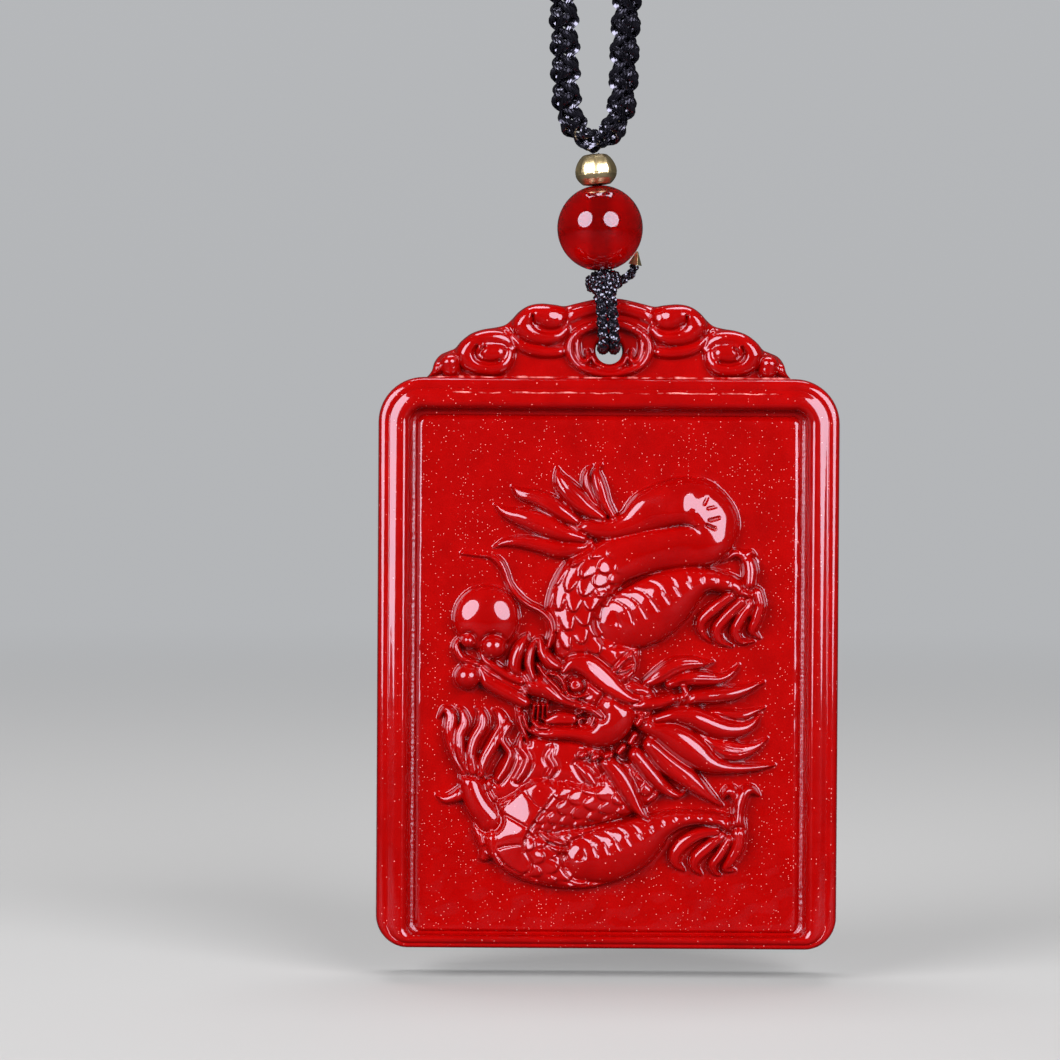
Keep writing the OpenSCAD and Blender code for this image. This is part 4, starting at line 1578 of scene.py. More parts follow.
SHOULDER = (
    Form(((-9.5, 15.2, 1.1, 0.9), (-8.4, 16.6, 1.6, 1.0), (-6.8, 17.8, 1.9, 1.05), (-4.4, 17.7, 2.1, 1.1),
          (-2.0, 17.4, 2.2, 1.2)), full=0.5, edge=0.5, square=3.0),
    # folds of the throat
    Form(((-8.9, 20.9, 0.25, 0.9), (-9.5, 19.6, 0.36, 1.15), (-8.8, 18.3, 0.42, 1.3), (-9.2, 17.0, 0.5, 1.35),
          (-9.9, 15.9, 0.4, 1.2)), edge=0.3, cut=0.1),
    Form(((-7.6, 20.2, 0.2, 0.9), (-7.9, 19.0, 0.34, 1.15), (-7.2, 17.9, 0.42, 1.3), (-7.5, 16.8, 0.46, 1.35),
          (-8.1, 15.9, 0.36, 1.25)), edge=0.3, cut=0.1),
    Form(((-4.9, 18.9, 0.2, 0.9), (-5.2, 18.0, 0.36, 1.2), (-4.8, 17.1, 0.42, 1.3), (-5.2, 16.3, 0.3, 1.2)),
         edge=0.3, cut=0.1),
    Form(((-2.6, 17.3, 0.3, 1.2), (-1.7, 16.5, 0.66, 1.55), (-1.0, 15.6, 0.5, 1.5)), edge=0.3, cut=0.1),
)

LOWER_MANE = (
    Form(((0.2, 17.6, 0.8, 1.8), (1.3, 16.3, 1.0, 1.9), (2.2, 14.9, 0.9, 1.85), (2.9, 13.6, 0.62, 1.75),
          (3.5, 12.8, 0.36, 1.7), (4.2, 12.2, 0.1, 1.5)), Skin.HAIR, strands=2, depth=0.12),
    Form(((2.8, 18.3, 0.8, 1.8), (4.0, 16.9, 0.9, 1.8), (5.0, 15.7, 0.75, 1.65), (6.0, 14.85, 0.52, 1.3),
          (6.9, 14.5, 0.3, 1.0), (7.6, 14.85, 0.08, 0.5)), edge=0.3),
    Form(((4.3, 19.2, 0.9, 1.9), (5.6, 17.9, 1.2, 1.95), (7.0, 16.7, 1.1, 1.85), (8.3, 15.6, 0.85, 1.65),
          (9.5, 14.6, 0.52, 1.3), (10.9, 13.5, 0.1, 0.6)), Skin.HAIR, strands=2, depth=0.12),
)

MANE = (
    Form(((8.7, 20.1, 0.4, 1.2), (10.1, 19.2, 0.95, 1.35), (11.7, 18.65, 0.95, 1.35),
          (13.0, 18.7, 0.72, 1.15), (14.2, 19.2, 0.36, 0.8), (15.05, 19.85, 0.08, 0.35)), Skin.HAIR,
         strands=5, depth=0.16),
    Form(((3.4, 21.3, 0.8, 1.7), (5.2, 20.6, 1.2, 1.95), (6.9, 19.55, 1.55, 2.05, -0.05),
          (8.3, 18.5, 1.45, 2.0, -0.08), (9.7, 17.55, 1.02, 1.7), (11.2, 17.1, 0.62, 1.3),
          (13.0, 17.05, 0.46, 1.05), (14.6, 17.2, 0.3, 0.75),
          (15.8, 17.35, 0.08, 0.35)), full=0.5, edge=0.3),
    Form(((9.6, 22.2, 0.3, 1.0), (11.2, 22.0, 0.5, 1.1), (12.6, 21.9, 0.52, 1.05), (13.8, 22.3, 0.3, 0.8),
          (14.8, 22.7, 0.08, 0.35)), Skin.HAIR, strands=4, depth=0.14),
    Form(((4.8, 21.6, 0.55, 1.7), (6.4, 22.0, 0.8, 1.9), (8.0, 21.8, 1.08, 1.95), (9.7, 21.1, 1.12, 1.85),
          (11.3, 20.65, 0.96, 1.65), (12.8, 20.75, 0.68, 1.3), (13.8, 21.35, 0.36, 0.85),
          (14.4, 22.15, 0.08, 0.35)), full=0.5, edge=0.3),
    Form(((4.6, 23.2, 0.6, 1.75), (6.8, 23.4, 0.66, 1.75), (8.4, 23.65, 0.7, 1.7), (10.2, 23.8, 0.76, 1.55),
          (11.8, 24.0, 0.7, 1.35), (13.1, 24.4, 0.46, 1.0), (14.0, 24.8, 0.24, 0.7),
          (14.75, 25.05, 0.08, 0.35)), edge=0.3),
    Form(((6.0, 25.0, 0.6, 1.65), (7.6, 25.35, 0.74, 1.6), (9.2, 25.35, 0.68, 1.4), (10.6, 25.35, 0.5, 1.15),
          (11.6, 25.8, 0.3, 0.85), (12.4, 26.65, 0.08, 0.35)), Skin.HAIR, strands=3, depth=0.12),
    Form(((3.9, 24.9, 0.5, 1.65), (5.2, 25.7, 0.78, 1.7), (6.4, 26.45, 0.84, 1.55), (7.8, 26.75, 0.66, 1.35),
          (9.0, 26.75, 0.4, 1.05), (10.0, 26.9, 0.1, 0.4)), Skin.HAIR, strands=3, depth=0.14),
    Form(((7.2, 24.6, 0.3, 1.6), (7.5, 24.0, 0.42, 1.8), (7.0, 23.6, 0.5, 1.9), (6.2, 23.4, 0.4, 1.8)),
         cut=0.1, edge=0.4),
)

HEAD = (
    # the mass of the skull, the brow side and the cheek
    Form(((-6.0, 25.0, 1.6, 1.6), (-3.0, 25.0, 2.1, 1.75), (0.0, 23.8, 2.4, 1.9), (3.2, 23.2, 1.6, 1.85)),
         full=0.5, edge=0.4),
    # lower jaw and cheek
    Form(((-6.6, 20.5, 0.5, 1.6), (-5.2, 20.25, 0.66, 1.8), (-3.6, 20.25, 0.68, 1.9),
          (-2.2, 20.2, 0.85, 1.95), (-1.0, 20.2, 1.3, 2.0), (0.1, 20.9, 1.9, 2.15), (0.9, 21.9, 1.95, 2.15),
          (0.7, 22.6, 1.6, 2.1)), full=0.5, edge=0.35),
    # mouth
    Form(((-7.3, 22.1, 0.55, 0.6), (-6.0, 21.9, 0.9, 0.45), (-4.2, 21.9, 0.85, 0.4), (-2.5, 21.6, 0.8, 0.5),
          (-1.5, 21.4, 0.6, 0.7)), join=Join.CARVE, edge=1.0),
    # curl in the corner of the mouth
    Form(((-2.6, 22.0, 0.16, 1.2), (-1.8, 22.25, 0.18, 1.35), (-1.1, 21.7, 0.18, 1.35),
          (-1.4, 20.95, 0.18, 1.3), (-2.3, 20.95, 0.16, 1.2), (-2.4, 21.5, 0.15, 1.1),
          (-1.9, 21.6, 0.14, 1.1)), cut=0.0, edge=0.4),
    # tongue
    Form(((-5.4, 21.35, 0.35, 1.0), (-4.2, 21.6, 0.6, 1.15), (-3.1, 21.55, 0.55, 1.1)), cut=0.0, edge=0.5,
         square=4.0),
    # teeth
    *(Form(((a, 22.9, 0.17, 1.7), (a - 0.1, c, 0.1, 1.5)), edge=0.4)
      for a, c in ((-6.6, 21.6), (-6.2, 21.2), (-5.75, 21.5), (-5.35, 21.9))),
    Form(((-6.7, 21.3, 0.22, 1.7), (-6.1, 20.8, 0.3, 1.9), (-5.3, 20.75, 0.2, 1.8)), edge=0.4, cut=0.1),
    # fang and beard at the snout's left
    Form(((-8.0, 22.4, 0.26, 1.4), (-7.85, 21.2, 0.26, 1.4), (-7.4, 20.1, 0.24, 1.3), (-7.1, 19.2, 0.1, 0.9)),
         edge=0.4),
    Form(((-7.6, 21.9, 0.2, 1.4), (-7.3, 20.9, 0.2, 1.4), (-7.0, 20.3, 0.12, 1.2)), edge=0.4),
    # upper lip
    Form(((-8.3, 25.6, 0.7, 1.6), (-7.1, 24.9, 1.1, 1.9, 0.1), (-5.6, 24.45, 1.05, 2.0),
          (-4.2, 23.7, 0.8, 2.0), (-2.6, 22.95, 0.5, 2.0), (-1.2, 22.4, 0.45, 2.05), (-0.3, 21.8, 0.3, 2.0)),
         full=0.5, edge=0.4),
    # nose: wing, middle leaf and bridge
    Form(((-7.6, 23.9, 0.5, 1.7), (-8.3, 25.3, 0.6, 1.7), (-8.4, 26.9, 0.7, 1.7), (-7.9, 28.3, 0.6, 1.6),
          (-7.3, 29.3, 0.15, 1.0)), edge=0.35),
    Form(((-6.7, 25.3, 0.35, 2.0), (-7.1, 26.6, 0.5, 2.0), (-6.9, 28.0, 0.45, 1.8), (-6.4, 29.0, 0.12, 1.2)),
         edge=0.35),
    Form(((-6.1, 28.9, 0.3, 1.5), (-5.8, 27.7, 0.62, 1.95), (-5.1, 26.8, 0.72, 2.1), (-4.0, 26.3, 0.4, 2.0)),
         edge=0.35),
    Form(((-6.3, 26.6, 0.2, 2.0), (-5.6, 25.6, 0.26, 2.2), (-4.6, 24.6, 0.24, 2.2), (-3.6, 23.6, 0.22, 2.15),
          (-2.2, 23.1, 0.15, 2.1)), edge=0.5, cut=0.0),
    # eye
    Form(((-2.85, 24.8, 1.0, 1.2), (-2.75, 24.75, 1.0, 1.2)), join=Join.CARVE, edge=1.0),
    Form(((-2.75, 24.7, 0.72, 2.0), (-2.7, 24.7, 0.72, 2.0)), edge=0.55, cut=0.0),
    Form(((-2.85, 24.85, 0.3, 1.75), (-2.8, 24.85, 0.3, 1.75)), join=Join.CARVE, edge=1.0),
    Form(((-3.7, 24.9, 0.12, 1.9), (-3.5, 24.0, 0.18, 2.1), (-2.7, 23.65, 0.2, 2.1), (-1.7, 23.9, 0.15, 2.0)),
         edge=0.5, cut=0.0),
    Form(((-5.2, 25.8, 0.15, 2.1), (-4.4, 25.6, 0.2, 2.15), (-3.9, 24.9, 0.18, 2.1), (-3.8, 24.2, 0.14, 2.1)),
         edge=0.5, cut=0.0),
    # ear
    Form(((0.9, 25.2, 0.7, 1.9), (1.8, 26.2, 0.95, 1.95), (2.4, 27.8, 0.15, 1.5)), edge=0.6),
    Form(((1.2, 25.7, 0.3, 1.25), (2.0, 26.5, 0.5, 1.3), (2.2, 27.0, 0.25, 1.3)), join=Join.CARVE, edge=1.0),
    Form(((1.2, 26.0, 0.12, 1.5), (1.9, 26.15, 0.16, 1.6), (2.5, 26.5, 0.1, 1.6)), edge=0.5, cut=0.0),
    # horn and the lock at its root
    Form(((1.8, 23.6, 0.7, 2.0), (3.2, 23.1, 0.75, 2.05), (4.8, 23.1, 0.68, 2.0), (6.2, 23.5, 0.55, 1.9)),
         edge=0.4),
    Form(((3.2, 24.0, 0.25, 1.5), (3.8, 24.1, 0.3, 1.5)), join=Join.CARVE, edge=1.0),
    # brow
    Form(((-3.9, 26.0, 0.3, 2.05), (-3.0, 26.75, 0.75, 2.12, 0.1), (-1.6, 26.5, 1.12, 2.2, 0.2),
          (-0.2, 25.4, 1.15, 2.12, 0.24), (1.1, 24.2, 0.85, 2.1, 0.16), (2.2, 23.5, 0.55, 2.05),
          (3.0, 23.4, 0.3, 2.0)), edge=0.45, square=3.0),
    Form(((-1.6, 26.9, 0.06, 2.05), (-0.2, 25.9, 0.08, 2.05), (0.8, 25.0, 0.06, 2.0)), join=Join.CARVE,
         edge=1.0),
    # studs behind the jaw
    *(Form(((a - c, b - d, 0.32, 2.0), (a + c, b + d, 0.32, 2.0)), edge=0.75, square=4.0)
      for a, b, c, d in ((3.15, 21.4, 0.15, 0.2), (2.55, 19.8, 0.2, 0.35), (1.5, 18.8, 0.2, 0.25),
                         (0.3, 18.25, 0.22, 0.1), (-0.9, 18.1, 0.15, 0.1), (-2.0, 18.3, 0.15, 0.1))),
)

NOSE_CURLS = (
    Form(((-13.2, 29.2, 0.2, 0.9), (-13.85, 28.3, 0.36, 1.1), (-13.3, 27.1, 0.46, 1.25),
          (-12.1, 26.5, 0.46, 1.35), (-10.8, 25.8, 0.46, 1.45), (-9.4, 24.95, 0.45, 1.5),
          (-8.0, 24.2, 0.4, 1.5)), edge=0.4),
    Form(((-11.5, 27.9, 0.4, 1.2), (-11.0, 26.9, 0.44, 1.35), (-9.9, 26.05, 0.46, 1.5),
          (-8.8, 25.4, 0.45, 1.55), (-7.8, 25.0, 0.4, 1.6)), edge=0.4),
    Form(((-11.7, 26.0, 0.4, 1.2), (-11.1, 25.1, 0.62, 1.35), (-10.0, 24.4, 0.72, 1.45),
          (-8.7, 23.7, 0.72, 1.5), (-7.5, 23.1, 0.6, 1.5)), full=0.5, edge=0.4),
    Form(((-11.12, 30.85, 3.02, 2.0), (-11.05, 30.85, 3.02, 2.0)), edge=0.25),
    Form(((-12.75, 28.8, 0.74, 1.7), (-12.7, 28.75, 0.74, 1.7)), edge=0.4),
    Form(((-10.44, 28.25, 1.2, 2.1), (-10.4, 28.25, 1.2, 2.1)), edge=0.4),
    Form(((-12.83, 25.4, 1.2, 1.8), (-12.78, 25.4, 1.2, 1.8)), edge=0.35),
)

WHISKER = (
    Form(((-13.4, 36.86, 0.12, 0.35), (-12.1, 36.7, 0.15, 0.4), (-10.8, 36.6, 0.24, 0.55),
          (-9.95, 36.1, 0.36, 0.7), (-9.4, 35.2, 0.3, 0.7), (-9.0, 34.1, 0.28, 0.7),
          (-8.25, 33.05, 0.28, 0.85), (-7.2, 32.15, 0.28, 1.1), (-6.0, 31.55, 0.28, 1.5),
          (-5.2, 30.7, 0.3, 1.8), (-5.0, 29.5, 0.3, 1.8), (-5.3, 28.3, 0.28, 1.8)), edge=0.5),
)

ORDER = (BODY_UPPER, TAIL_TUFTS, HIND_LEG, LOWER_BODY, PAW, SHOULDER, FORE_LEG, LOWER_MANE, MANE,
         HEAD, NOSE_CURLS, WHISKER)


# Crest ornament. Forms as on the panel, from the middle of the crest's foot

# Its right half, which is made on both sides
CREST_SIDE = (
    # the swag under the upper curl
    Form(((9.7, 4.2, 0.35, 0.45), (8.9, 3.5, 0.5, 0.6), (7.6, 2.75, 0.6, 0.7), (6.0, 2.4, 0.56, 0.72),
          (4.7, 2.4, 0.46, 0.66), (4.0, 2.65, 0.34, 0.5)), edge=0.3),
    # the upper curl: its fat band, the ball that grows out of its upper end, and the groove under the ball
    Form(((4.2, 5.2, 0.5, 0.5), (4.7, 6.05, 0.75, 0.8), (6.1, 6.15, 0.95, 1.02), (7.5, 5.75, 1.05, 1.2),
          (8.0, 4.95, 1.05, 1.2), (7.4, 4.2, 0.95, 1.1), (6.1, 3.8, 0.8, 1.0), (4.9, 3.9, 0.62, 0.88),
          (4.1, 4.5, 0.4, 0.6)), edge=0.3, cut=0.2),
    Form(((4.95, 5.45, 1.0, 1.1), (5.7, 5.6, 1.15, 1.25), (6.4, 5.8, 0.9, 1.2)), join=Join.MELD, edge=0.25),
    Form(((7.15, 5.75, 0.1, 0.6), (7.05, 5.0, 0.16, 0.6), (6.5, 4.5, 0.2, 0.55), (5.5, 4.3, 0.2, 0.5),
          (4.6, 4.55, 0.18, 0.45), (4.05, 5.3, 0.16, 0.4)), join=Join.CARVE, edge=1.0),
    # the side curl: a fat ring, the ball inside and the grooves between
    Form(((9.1, 2.7, 0.45, 0.5), (9.9, 3.5, 0.7, 0.85), (11.3, 3.7, 0.95, 1.08), (12.7, 3.15, 1.1, 1.2),
          (13.2, 2.2, 1.1, 1.2), (12.7, 1.4, 1.0, 1.12), (11.5, 1.0, 0.85, 1.05), (10.2, 1.05, 0.8, 1.0),
          (9.5, 1.7, 0.6, 0.85), (9.3, 2.5, 0.45, 0.7)), edge=0.3, cut=0.2),
    Form(((10.4, 2.3, 0.95, 1.15), (11.2, 2.35, 1.05, 1.2), (11.8, 2.6, 0.8, 1.15)), join=Join.MELD,
         edge=0.25),
    Form(((12.3, 2.9, 0.1, 0.6), (12.55, 2.3, 0.17, 0.6), (12.2, 1.65, 0.19, 0.55), (11.2, 1.35, 0.18, 0.5),
          (10.2, 1.5, 0.16, 0.5)), join=Join.CARVE, edge=1.0),
    Form(((11.8, 1.9, 0.12, 0.75), (12.0, 2.3, 0.14, 0.75), (11.6, 2.8, 0.12, 0.8)), join=Join.CARVE,
         edge=1.0),
    # the two end lobes
    Form(((17.0, 0.35, 0.45, 0.8), (16.4, 0.75, 0.65, 1.0), (16.0, 0.95, 0.6, 1.0)), edge=0.25, cut=0.1),
    Form(((14.75, 0.85, 0.9, 1.05), (14.85, 1.35, 0.92, 1.15)), edge=0.2, cut=0.2),
)

HOLE_CURL = Form(((-2.7, 4.3, 0.2, 0.5), (-3.0, 3.2, 0.26, 0.65), (-2.9, 2.1, 0.28, 0.8),
                  (-2.4, 1.5, 0.28, 0.9), (-1.95, 1.8, 0.26, 0.9), (-2.05, 2.5, 0.2, 0.8)), edge=0.35,
                 cut=0.1)

CREST = (
    # the band under the top
    Form(((5.0, 4.6, 0.5, 0.3), (3.9, 5.6, 0.6, 0.4), (2.0, 6.35, 0.6, 0.45), (0.0, 6.6, 0.6, 0.45),
          (-2.0, 6.35, 0.6, 0.45), (-3.9, 5.6, 0.6, 0.4), (-5.0, 4.6, 0.5, 0.3)), edge=0.2),
    *(half for form in CREST_SIDE for half in (form, form.mirrored())),
    # the oval, the curls beside the hole and the lip under it
    Form(tuple((3.72 * math.cos(a), 2.72 + 2.3 * math.sin(a), 0.44, 0.98)
               for a in np.linspace(0, 2 * math.pi, 25)), edge=0.4),
    HOLE_CURL,
    HOLE_CURL.mirrored(),
    Form(((-1.6, 2.0, 0.2, 0.5), (-1.15, 1.3, 0.24, 0.6), (0.0, 0.95, 0.26, 0.6), (1.15, 1.3, 0.24, 0.6),
          (1.6, 2.0, 0.2, 0.5)), edge=0.35),
)


def quads_over(points: np.ndarray, cells: np.ndarray) -> tuple[np.ndarray, np.ndarray]:
    """Makes quads over the chosen cells of a grid of points.

    Args:
        points: The grid's points, rows by columns by three.
        cells: Which cells to fill.

    Returns:
        The quads as point numbers, and the directed border edges.
    """
    rows, cols = points.shape[:2]
    number = np.arange(rows * cols).reshape(rows, cols)
    quads = np.stack([number[:-1, :-1], number[:-1, 1:], number[1:, 1:], number[1:, :-1]], axis=-1)[cells]
    starts, ends = quads.reshape(-1), np.roll(quads, -1, axis=1).reshape(-1)
    border = ~np.isin(starts * rows * cols + ends, ends * rows * cols + starts)
    return quads, np.column_stack([starts[border], ends[border]])


@dataclass
class Tablet:
    """The moulded tablet: its framed body, the carved panel and the scrolled crest with the hole."""

    width: float = 42.8
    frame_h: float = 53.0
    panel_y: float = -2.8
    crest_y: float = -1.75
    crest_back: float = 2.3
    crest_round: float = 0.85
    hole_r: float = 1.28
    hole_round: float = 0.3
    top_corner: float = 4.2
    foot_corner: float = 3.0
    least_corner: float = 0.9
    corner_steps: int = 14
    foot_share: float = 0.42
    # The carving's grid, how much its edges are rounded, and the most triangles that its pieces keep
    step: float = 0.08
    soft: float = 0.06
    panel_triangles: int = 190000
    crest_triangles: int = 110000
    # The panel's border, the inset from which its corners are square, and the depth of its hidden back
    panel_edge: float = 3.32
    square_from: float = 4.3
    hidden_y: float = -2.0
    # Frame section, from the back round to the groove beside the panel: inset, depth
    section: Pairs = (
        (2.6, 4.2), (1.6, 4.18), (0.9, 4.0), (0.4, 3.62), (0.1, 3.1), (0, 2.5), (0, 0), (0, -2.6),
        (0.03, -3.1), (0.08, -3.4), (0.16, -3.62), (0.26, -3.76), (0.38, -3.83), (0.52, -3.885),
        (0.64, -3.915), (0.8, -3.93), (1.0, -3.93), (1.06, -3.915), (1.12, -3.91), (1.2, -3.935),
        (1.36, -4.0), (1.52, -4.063), (1.64, -4.1), (1.8, -4.13), (2.0, -4.155), (2.2, -4.17), (2.34, -4.165),
        (2.46, -4.13), (2.58, -4.07), (2.69, -3.98), (2.79, -3.84), (2.87, -3.62), (2.93, -3.32),
        (3.0, -3.03), (3.1, -2.85), (3.25, -2.75), (3.45, -2.68), (3.6, -2.45), (3.8, -2.2),
    )
    # Insets between which the groove's ground is rough
    rough_band: tuple[float, float] = (3.02, 3.6)
    # How the panel falls into the groove: inset, height
    rim: Pairs = (
        (3.3, -0.36), (3.44, -0.3), (3.52, -0.24), (3.58, -0.19), (3.64, -0.155), (3.72, -0.123),
        (3.8, -0.091), (3.88, -0.059), (3.94, -0.036), (4.02, -0.015), (4.15, 0),
    )
    # How far the dragon is laid across and up
    laid: tuple[float, float] = (-0.2, -0.19)
    # Fine ridges: name, start and end across, height above the foot, depth; then their section: depth, height
    ridges: tuple[tuple[str, float, float, float, float], ...] = (
        ("foot_ridge", -17.0, 17.0, 52.98, -3.0), ("bar_ridge", -15.6, 17.0, 51.54, -3.98),
    )
    ridge_section: Pairs = (
        (0.1, 0.13), (-0.04, 0.08), (-0.09, 0), (-0.06, -0.07), (0.1, -0.1),
    )
    ridge_step: float = 0.4
    # The waves along a ridge: height, turns, start
    ridge_waves: tuple[Point, ...] = ((0.03, 1.3, 0.0), (0.02, 3.1, 1.0))
    ridge_fade: float = 1.2
    ridge_sink: float = 0.05
    # Share of the cells with a fleck, on the flat panel and on raised parts, and the height of a raised part
    flecks_flat: float = 0.3
    flecks_raised: float = 0.12
    raised_from: float = 0.15
    # Slight unevenness of the flat panel: height, turns across and up, start
    swell: tuple[tuple[float, float, float, float], ...] = (
        (0.006, 1.9, 0.7, 0.0), (0.005, -1.1, 2.2, 1.0), (0.004, 2.9, -1.7, 2.0), (0.003, 0.4, 3.4, 0.5),
    )
    # The crest's grid, from the middle of its foot: lowest and highest place across and up
    crest_low: tuple[float, float] = (-18.0, -1.2)
    crest_high: tuple[float, float] = (18.0, 7.6)
    # Right half of the crest's outline, from the middle of its top to its foot: across, height
    outline: Pairs = (
        (0, 7.5), (1.1, 7.42), (2.2, 7.2), (3.2, 6.95), (4.2, 6.72), (5.1, 6.85), (6.4, 6.95), (7.5, 6.75),
        (8.4, 6.2), (9.05, 5.5), (9.7, 4.95), (10.6, 4.7), (11.8, 4.5), (12.9, 4.1), (13.8, 3.4),
        (14.35, 2.75), (14.9, 2.5), (15.75, 2.1), (16.3, 1.4), (16.55, 0.6), (17.1, -0.05), (18.0, -0.6),
        (18.0, -1.2),
    )

    def grid_step(self) -> float:
        return self.step * 1

    def dress(self, piece: Object, material: Material) -> None:
        """Dresses a piece of the tablet."""
        dress(piece, material, Body.TABLET, "tablet")

    def ring(self, inset: float, depth: float) -> np.ndarray:
        """Works out the points round the frame at an inset.

        Args:
            inset: How far inside the edge.
            depth: Where it lies, front to back.

        Returns:
            The points in the part's frame.
        """
        w = self.width / 2 - inset
        top = self.frame_h - inset
        foot = self.foot_share * inset
        rt = max(self.top_corner - inset, self.least_corner)
        rb = max(self.foot_corner - inset, self.least_corner)
        corners = ((w - rt, top - rt, rt), (rt - w, top - rt, rt),
                   (rb - w, foot + rb, rb), (w - rb, foot + rb, rb))
        points = []
        for quarter, (u, v, r) in enumerate(corners):
            for k in range(self.corner_steps + 1):
                a = math.pi / 2 * (quarter + k / self.corner_steps)
                points.append((HOLE[0] + u + r * math.cos(a), depth, FOOT_Z + v + r * math.sin(a)))
        return np.array(points)

    def body(self, material: Material) -> None:
        """Makes the framed body from its section.

        Args:
            material: The cinnabar.
        """
        rows = smooth_route(np.array(self.section, float), 4)
        rings = [self.ring(max(i, 0.0), d) for i, d in rows]
        count = len(rings[0])
        piece = piece_from("tablet_body", np.vstack(rings), ring_faces(len(rings), count))
        low, high = self.rough_band
        mark(piece, "grit", np.repeat([1.0 if low < i < high else 0.0 for i, _ in rows], count))
        mark(piece, "flecks", np.full(count * len(rows), self.flecks_raised))
        smooth(piece, 35)
        self.dress(piece, material)

    def inset(self, across: np.ndarray, up: np.ndarray) -> np.ndarray:
        """Works out how far points of the panel are inside the frame's edge.

        Args:
            across: Across from the middle.
            up: Up from the bottom edge.

        Returns:
            The inset of each point.
        """
        side = self.square_from - (self.width / 2 - np.abs(across))
        end = self.square_from - np.minimum(self.frame_h - up, up / self.foot_share)
        away = np.hypot(np.maximum(side, 0), np.maximum(end, 0)) + np.minimum(np.maximum(side, end), 0)
        return self.square_from - away

    def panel(self, material: Material) -> None:
        """Makes the panel with the dragon raised on it.

        Args:
            material: The cinnabar.
        """
        edge, (aside, down) = self.panel_edge, self.laid
        carving = Carving((edge - self.width / 2 - aside, self.foot_share * edge - down),
                          (self.width / 2 - edge - aside, self.frame_h - edge - down), self.grid_step())
        for group in ORDER:
            for form in group:
                carving.add(form)
        carving.soften(self.soft)
        across, up = np.meshgrid(carving.u + aside, carving.v + down)
        swell = sum(a * np.sin(b * across + c * up + d) for a, b, c, d in self.swell)
        height = carving.z + np.interp(self.inset(across, up), *zip(*self.rim)) + swell
        points = np.dstack([HOLE[0] + across, self.panel_y - height, FOOT_Z + up])
        quads, _ = quads_over(points, np.ones(np.array(height.shape) - 1, bool))
        piece = piece_from("carved_panel", points.reshape(-1, 3), quads.tolist())
        thin(piece, self.panel_triangles)
        self.close(piece)
        smooth(piece)
        places = np.zeros(len(piece.data.vertices) * 3)
        piece.data.vertices.foreach_get("co", places)
        flat = places[1::3] / MM > self.panel_y - self.raised_from
        mark(piece, "flecks", np.where(flat, self.flecks_flat, self.flecks_raised))
        self.dress(piece, material)

    def close(self, piece: Object) -> None:
        """Closes an open sheet with a wall and a flat back inside the body.

        Args:
            piece: The sheet.
        """
        activate(piece)
        bpy.ops.object.mode_set(mode="EDIT")
        bpy.ops.mesh.select_all(action="DESELECT")
        bpy.ops.mesh.select_mode(type="EDGE")
        bpy.ops.mesh.select_non_manifold(extend=False)
        bpy.ops.mesh.extrude_edges_move(TRANSFORM_OT_translate={"value": (0, 2 * MM, 0)})
        mesh = bmesh.from_edit_mesh(piece.data)
        for vert in mesh.verts:
            if vert.select:
                vert.co.y = self.hidden_y * MM
        bmesh.update_edit_mesh(piece.data)
        bpy.ops.mesh.edge_face_add()
        bpy.ops.mesh.select_mode(type="VERT")
        face_outward(piece)

    def crest_depth(self, across: np.ndarray, up: np.ndarray) -> tuple[np.ndarray, np.ndarray]:
        """Works out how far points are inside the crest, as the hole leaves it.

        Args:
            across: Across from the middle.
            up: Up from the crest's foot.

        Returns:
            The distance inside the outline, and inside the hole's edge.
        """
        half = smooth_route(np.array(self.outline, float), 5)
        ring = np.vstack([half, half[::-1] * [-1, 1]])
        near = np.full(across.shape, 1e9)
        inside = np.zeros(across.shape, bool)
        for a, b in zip(ring, np.roll(ring, -1, axis=0)):
            d = b - a
            size = max(float(d @ d), 1e-12)
            t = np.clip(((across - a[0]) * d[0] + (up - a[1]) * d[1]) / size, 0, 1)
            near = np.minimum(near, np.hypot(across - a[0] - t * d[0], up - a[1] - t * d[1]))
            if a[1] != b[1]:
                inside ^= ((a[1] > up) != (b[1] > up)) & (across < d[0] * (up - a[1]) / d[1] + a[0])
        hole_up = HOLE[2] - FOOT_Z - self.frame_h
        return np.where(inside, near, -near), np.hypot(across, up - hole_up) - self.hole_r

    def round_off(self, inside: np.ndarray, radius: float) -> np.ndarray:
        """Gives the drop of an edge rounded with a radius, at distances inside it."""
        return radius * (1 - np.sqrt(np.clip(1 - (1 - np.clip(inside / radius, 0, 1)) ** 2, 0, 1)))

    def crest(self, material: Material) -> None:
        """Makes the crest: its scrolls and oval in front, a rounded plain back, and the hole.

        Args:
            material: The cinnabar.
        """
        step = self.grid_step()
        carving = Carving(self.crest_low, self.crest_high, step)
        for form in CREST:
            carving.add(form)
        carving.soften(self.soft)
        across, up = np.meshgrid(carving.u, carving.v)
        edge, hole = self.crest_depth(across, up)
        inside = np.minimum(edge, hole)
        kept = inside > -0.2 * step
        cells = kept[:-1, :-1] & kept[:-1, 1:] & kept[1:, 1:] & kept[1:, :-1]
        drop = self.round_off(edge, self.crest_round) + self.round_off(hole, self.hole_round)
        front = self.crest_y - carving.z + drop
        quads, border = quads_over(np.dstack([across, front, up]), cells)
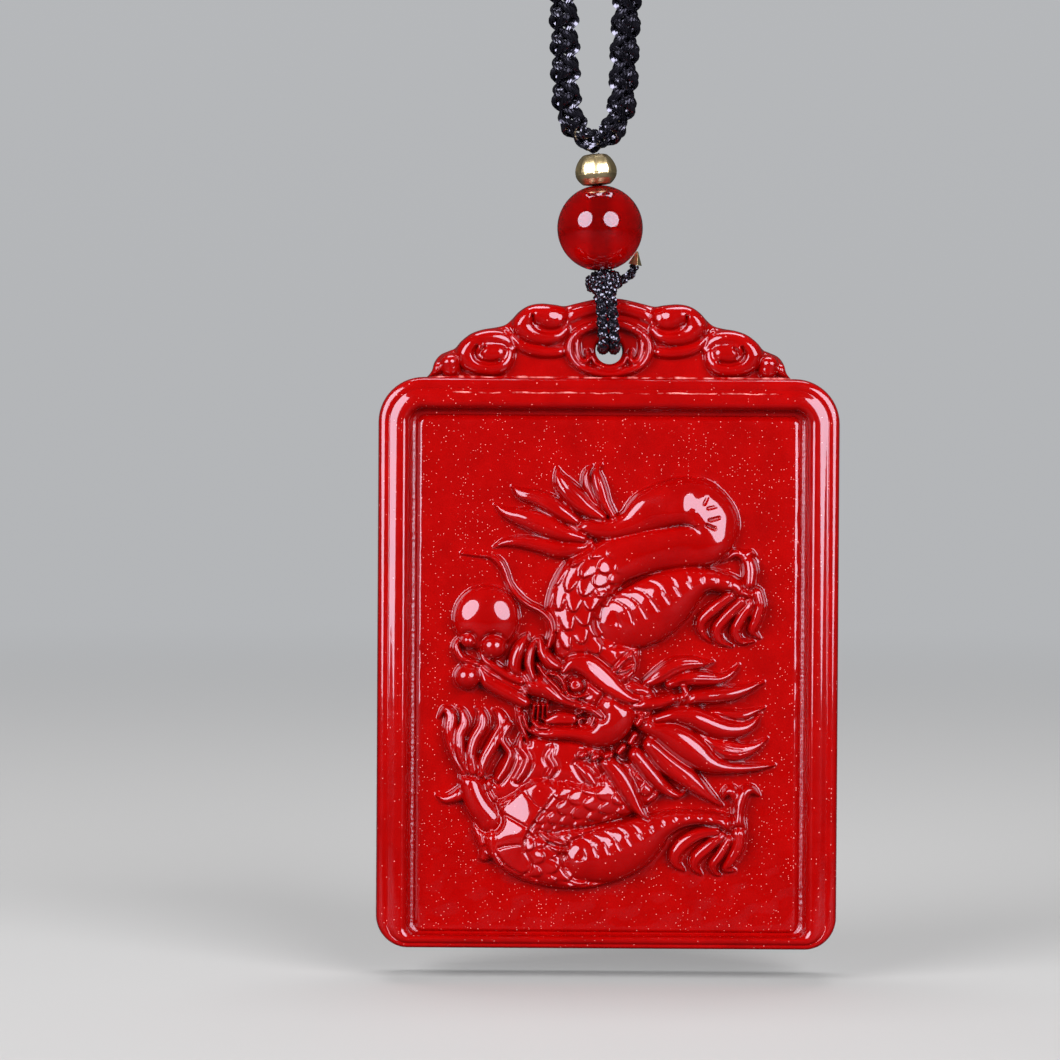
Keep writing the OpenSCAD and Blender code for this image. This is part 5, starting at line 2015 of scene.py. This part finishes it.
        # The border's points move square to it, onto the true edge
        slope_v, slope_u = np.gradient(inside, step)
        rim = np.unravel_index(np.unique(border), inside.shape)
        shift = inside[rim] / np.maximum(np.hypot(slope_u, slope_v), 0.2)[rim] ** 2
        across[rim] -= shift * slope_u[rim]
        up[rim] -= shift * slope_v[rim]
        front[rim] = np.where(edge[rim] < hole[rim], self.crest_y + self.crest_round, front[rim])
        sheets = [np.dstack([HOLE[0] + across, y, FOOT_Z + self.frame_h + up]).reshape(-1, 3)
                  for y in (front, self.crest_back - drop)]
        walls = np.column_stack([border[:, ::-1], border + across.size])
        every = np.vstack([quads, quads[:, ::-1] + across.size, walls])
        used, numbers = np.unique(every, return_inverse=True)
        piece = piece_from("crest", np.vstack(sheets)[used], numbers.reshape(-1, 4).tolist())
        thin(piece, self.crest_triangles)
        smooth(piece, 50)
        mark(piece, "flecks", np.full(len(piece.data.vertices), self.flecks_raised))
        self.dress(piece, material)

    def lines(self, material: Material) -> None:
        """Makes the two fine ridges along the top bar: at the crest's foot and in the middle of the bar.

        Args:
            material: The cinnabar.
        """
        for label, start, end, up, depth in self.ridges:
            across = np.arange(start, end + self.ridge_step / 2, self.ridge_step)
            wave = sum(a * np.sin(b * across + c) for a, b, c in self.ridge_waves)
            fade = np.clip(np.minimum(across - start, end - across) / self.ridge_fade, 0.05, 1)
            points = [
                (HOLE[0] + u, depth + y * f + self.ridge_sink * (1 - f), FOOT_Z + up + w + z * f)
                for u, w, f in zip(across, wave, fade) for y, z in self.ridge_section
            ]
            piece = piece_from(label, np.array(points), ring_faces(len(across), len(self.ridge_section)))
            face_outward(piece)
            smooth(piece, 30)
            # The ridges are painted pale all over, a painted highlight along them
            mark(piece, "painted_highlight", np.ones(len(piece.data.vertices)))
            self.dress(piece, material)

    def build(self, material: Material) -> None:
        """Makes the body, the carved panel, the crest and the fine ridges.

        Args:
            material: The cinnabar.
        """
        self.body(material)
        self.panel(material)
        self.crest(material)
        self.lines(material)


def main() -> None:
    """Builds the whole piece, from the camera and the cords to the tablet."""
    logging.basicConfig(level=logging.INFO, format="%(name)s: %(message)s")
    Studio().build()
    effects = Effects()
    cord = BlackCord().build(effects)
    NeckCord().build(cord)
    HangingCord().build(cord)
    beads = Beads()
    beads.agate(Agate().build(effects))
    gold = PaleGold().build(effects)
    beads.gold(gold)
    beads.tip(gold)
    Tablet().build(Cinnabar().build(effects))


if __name__ == "__main__":
    main()
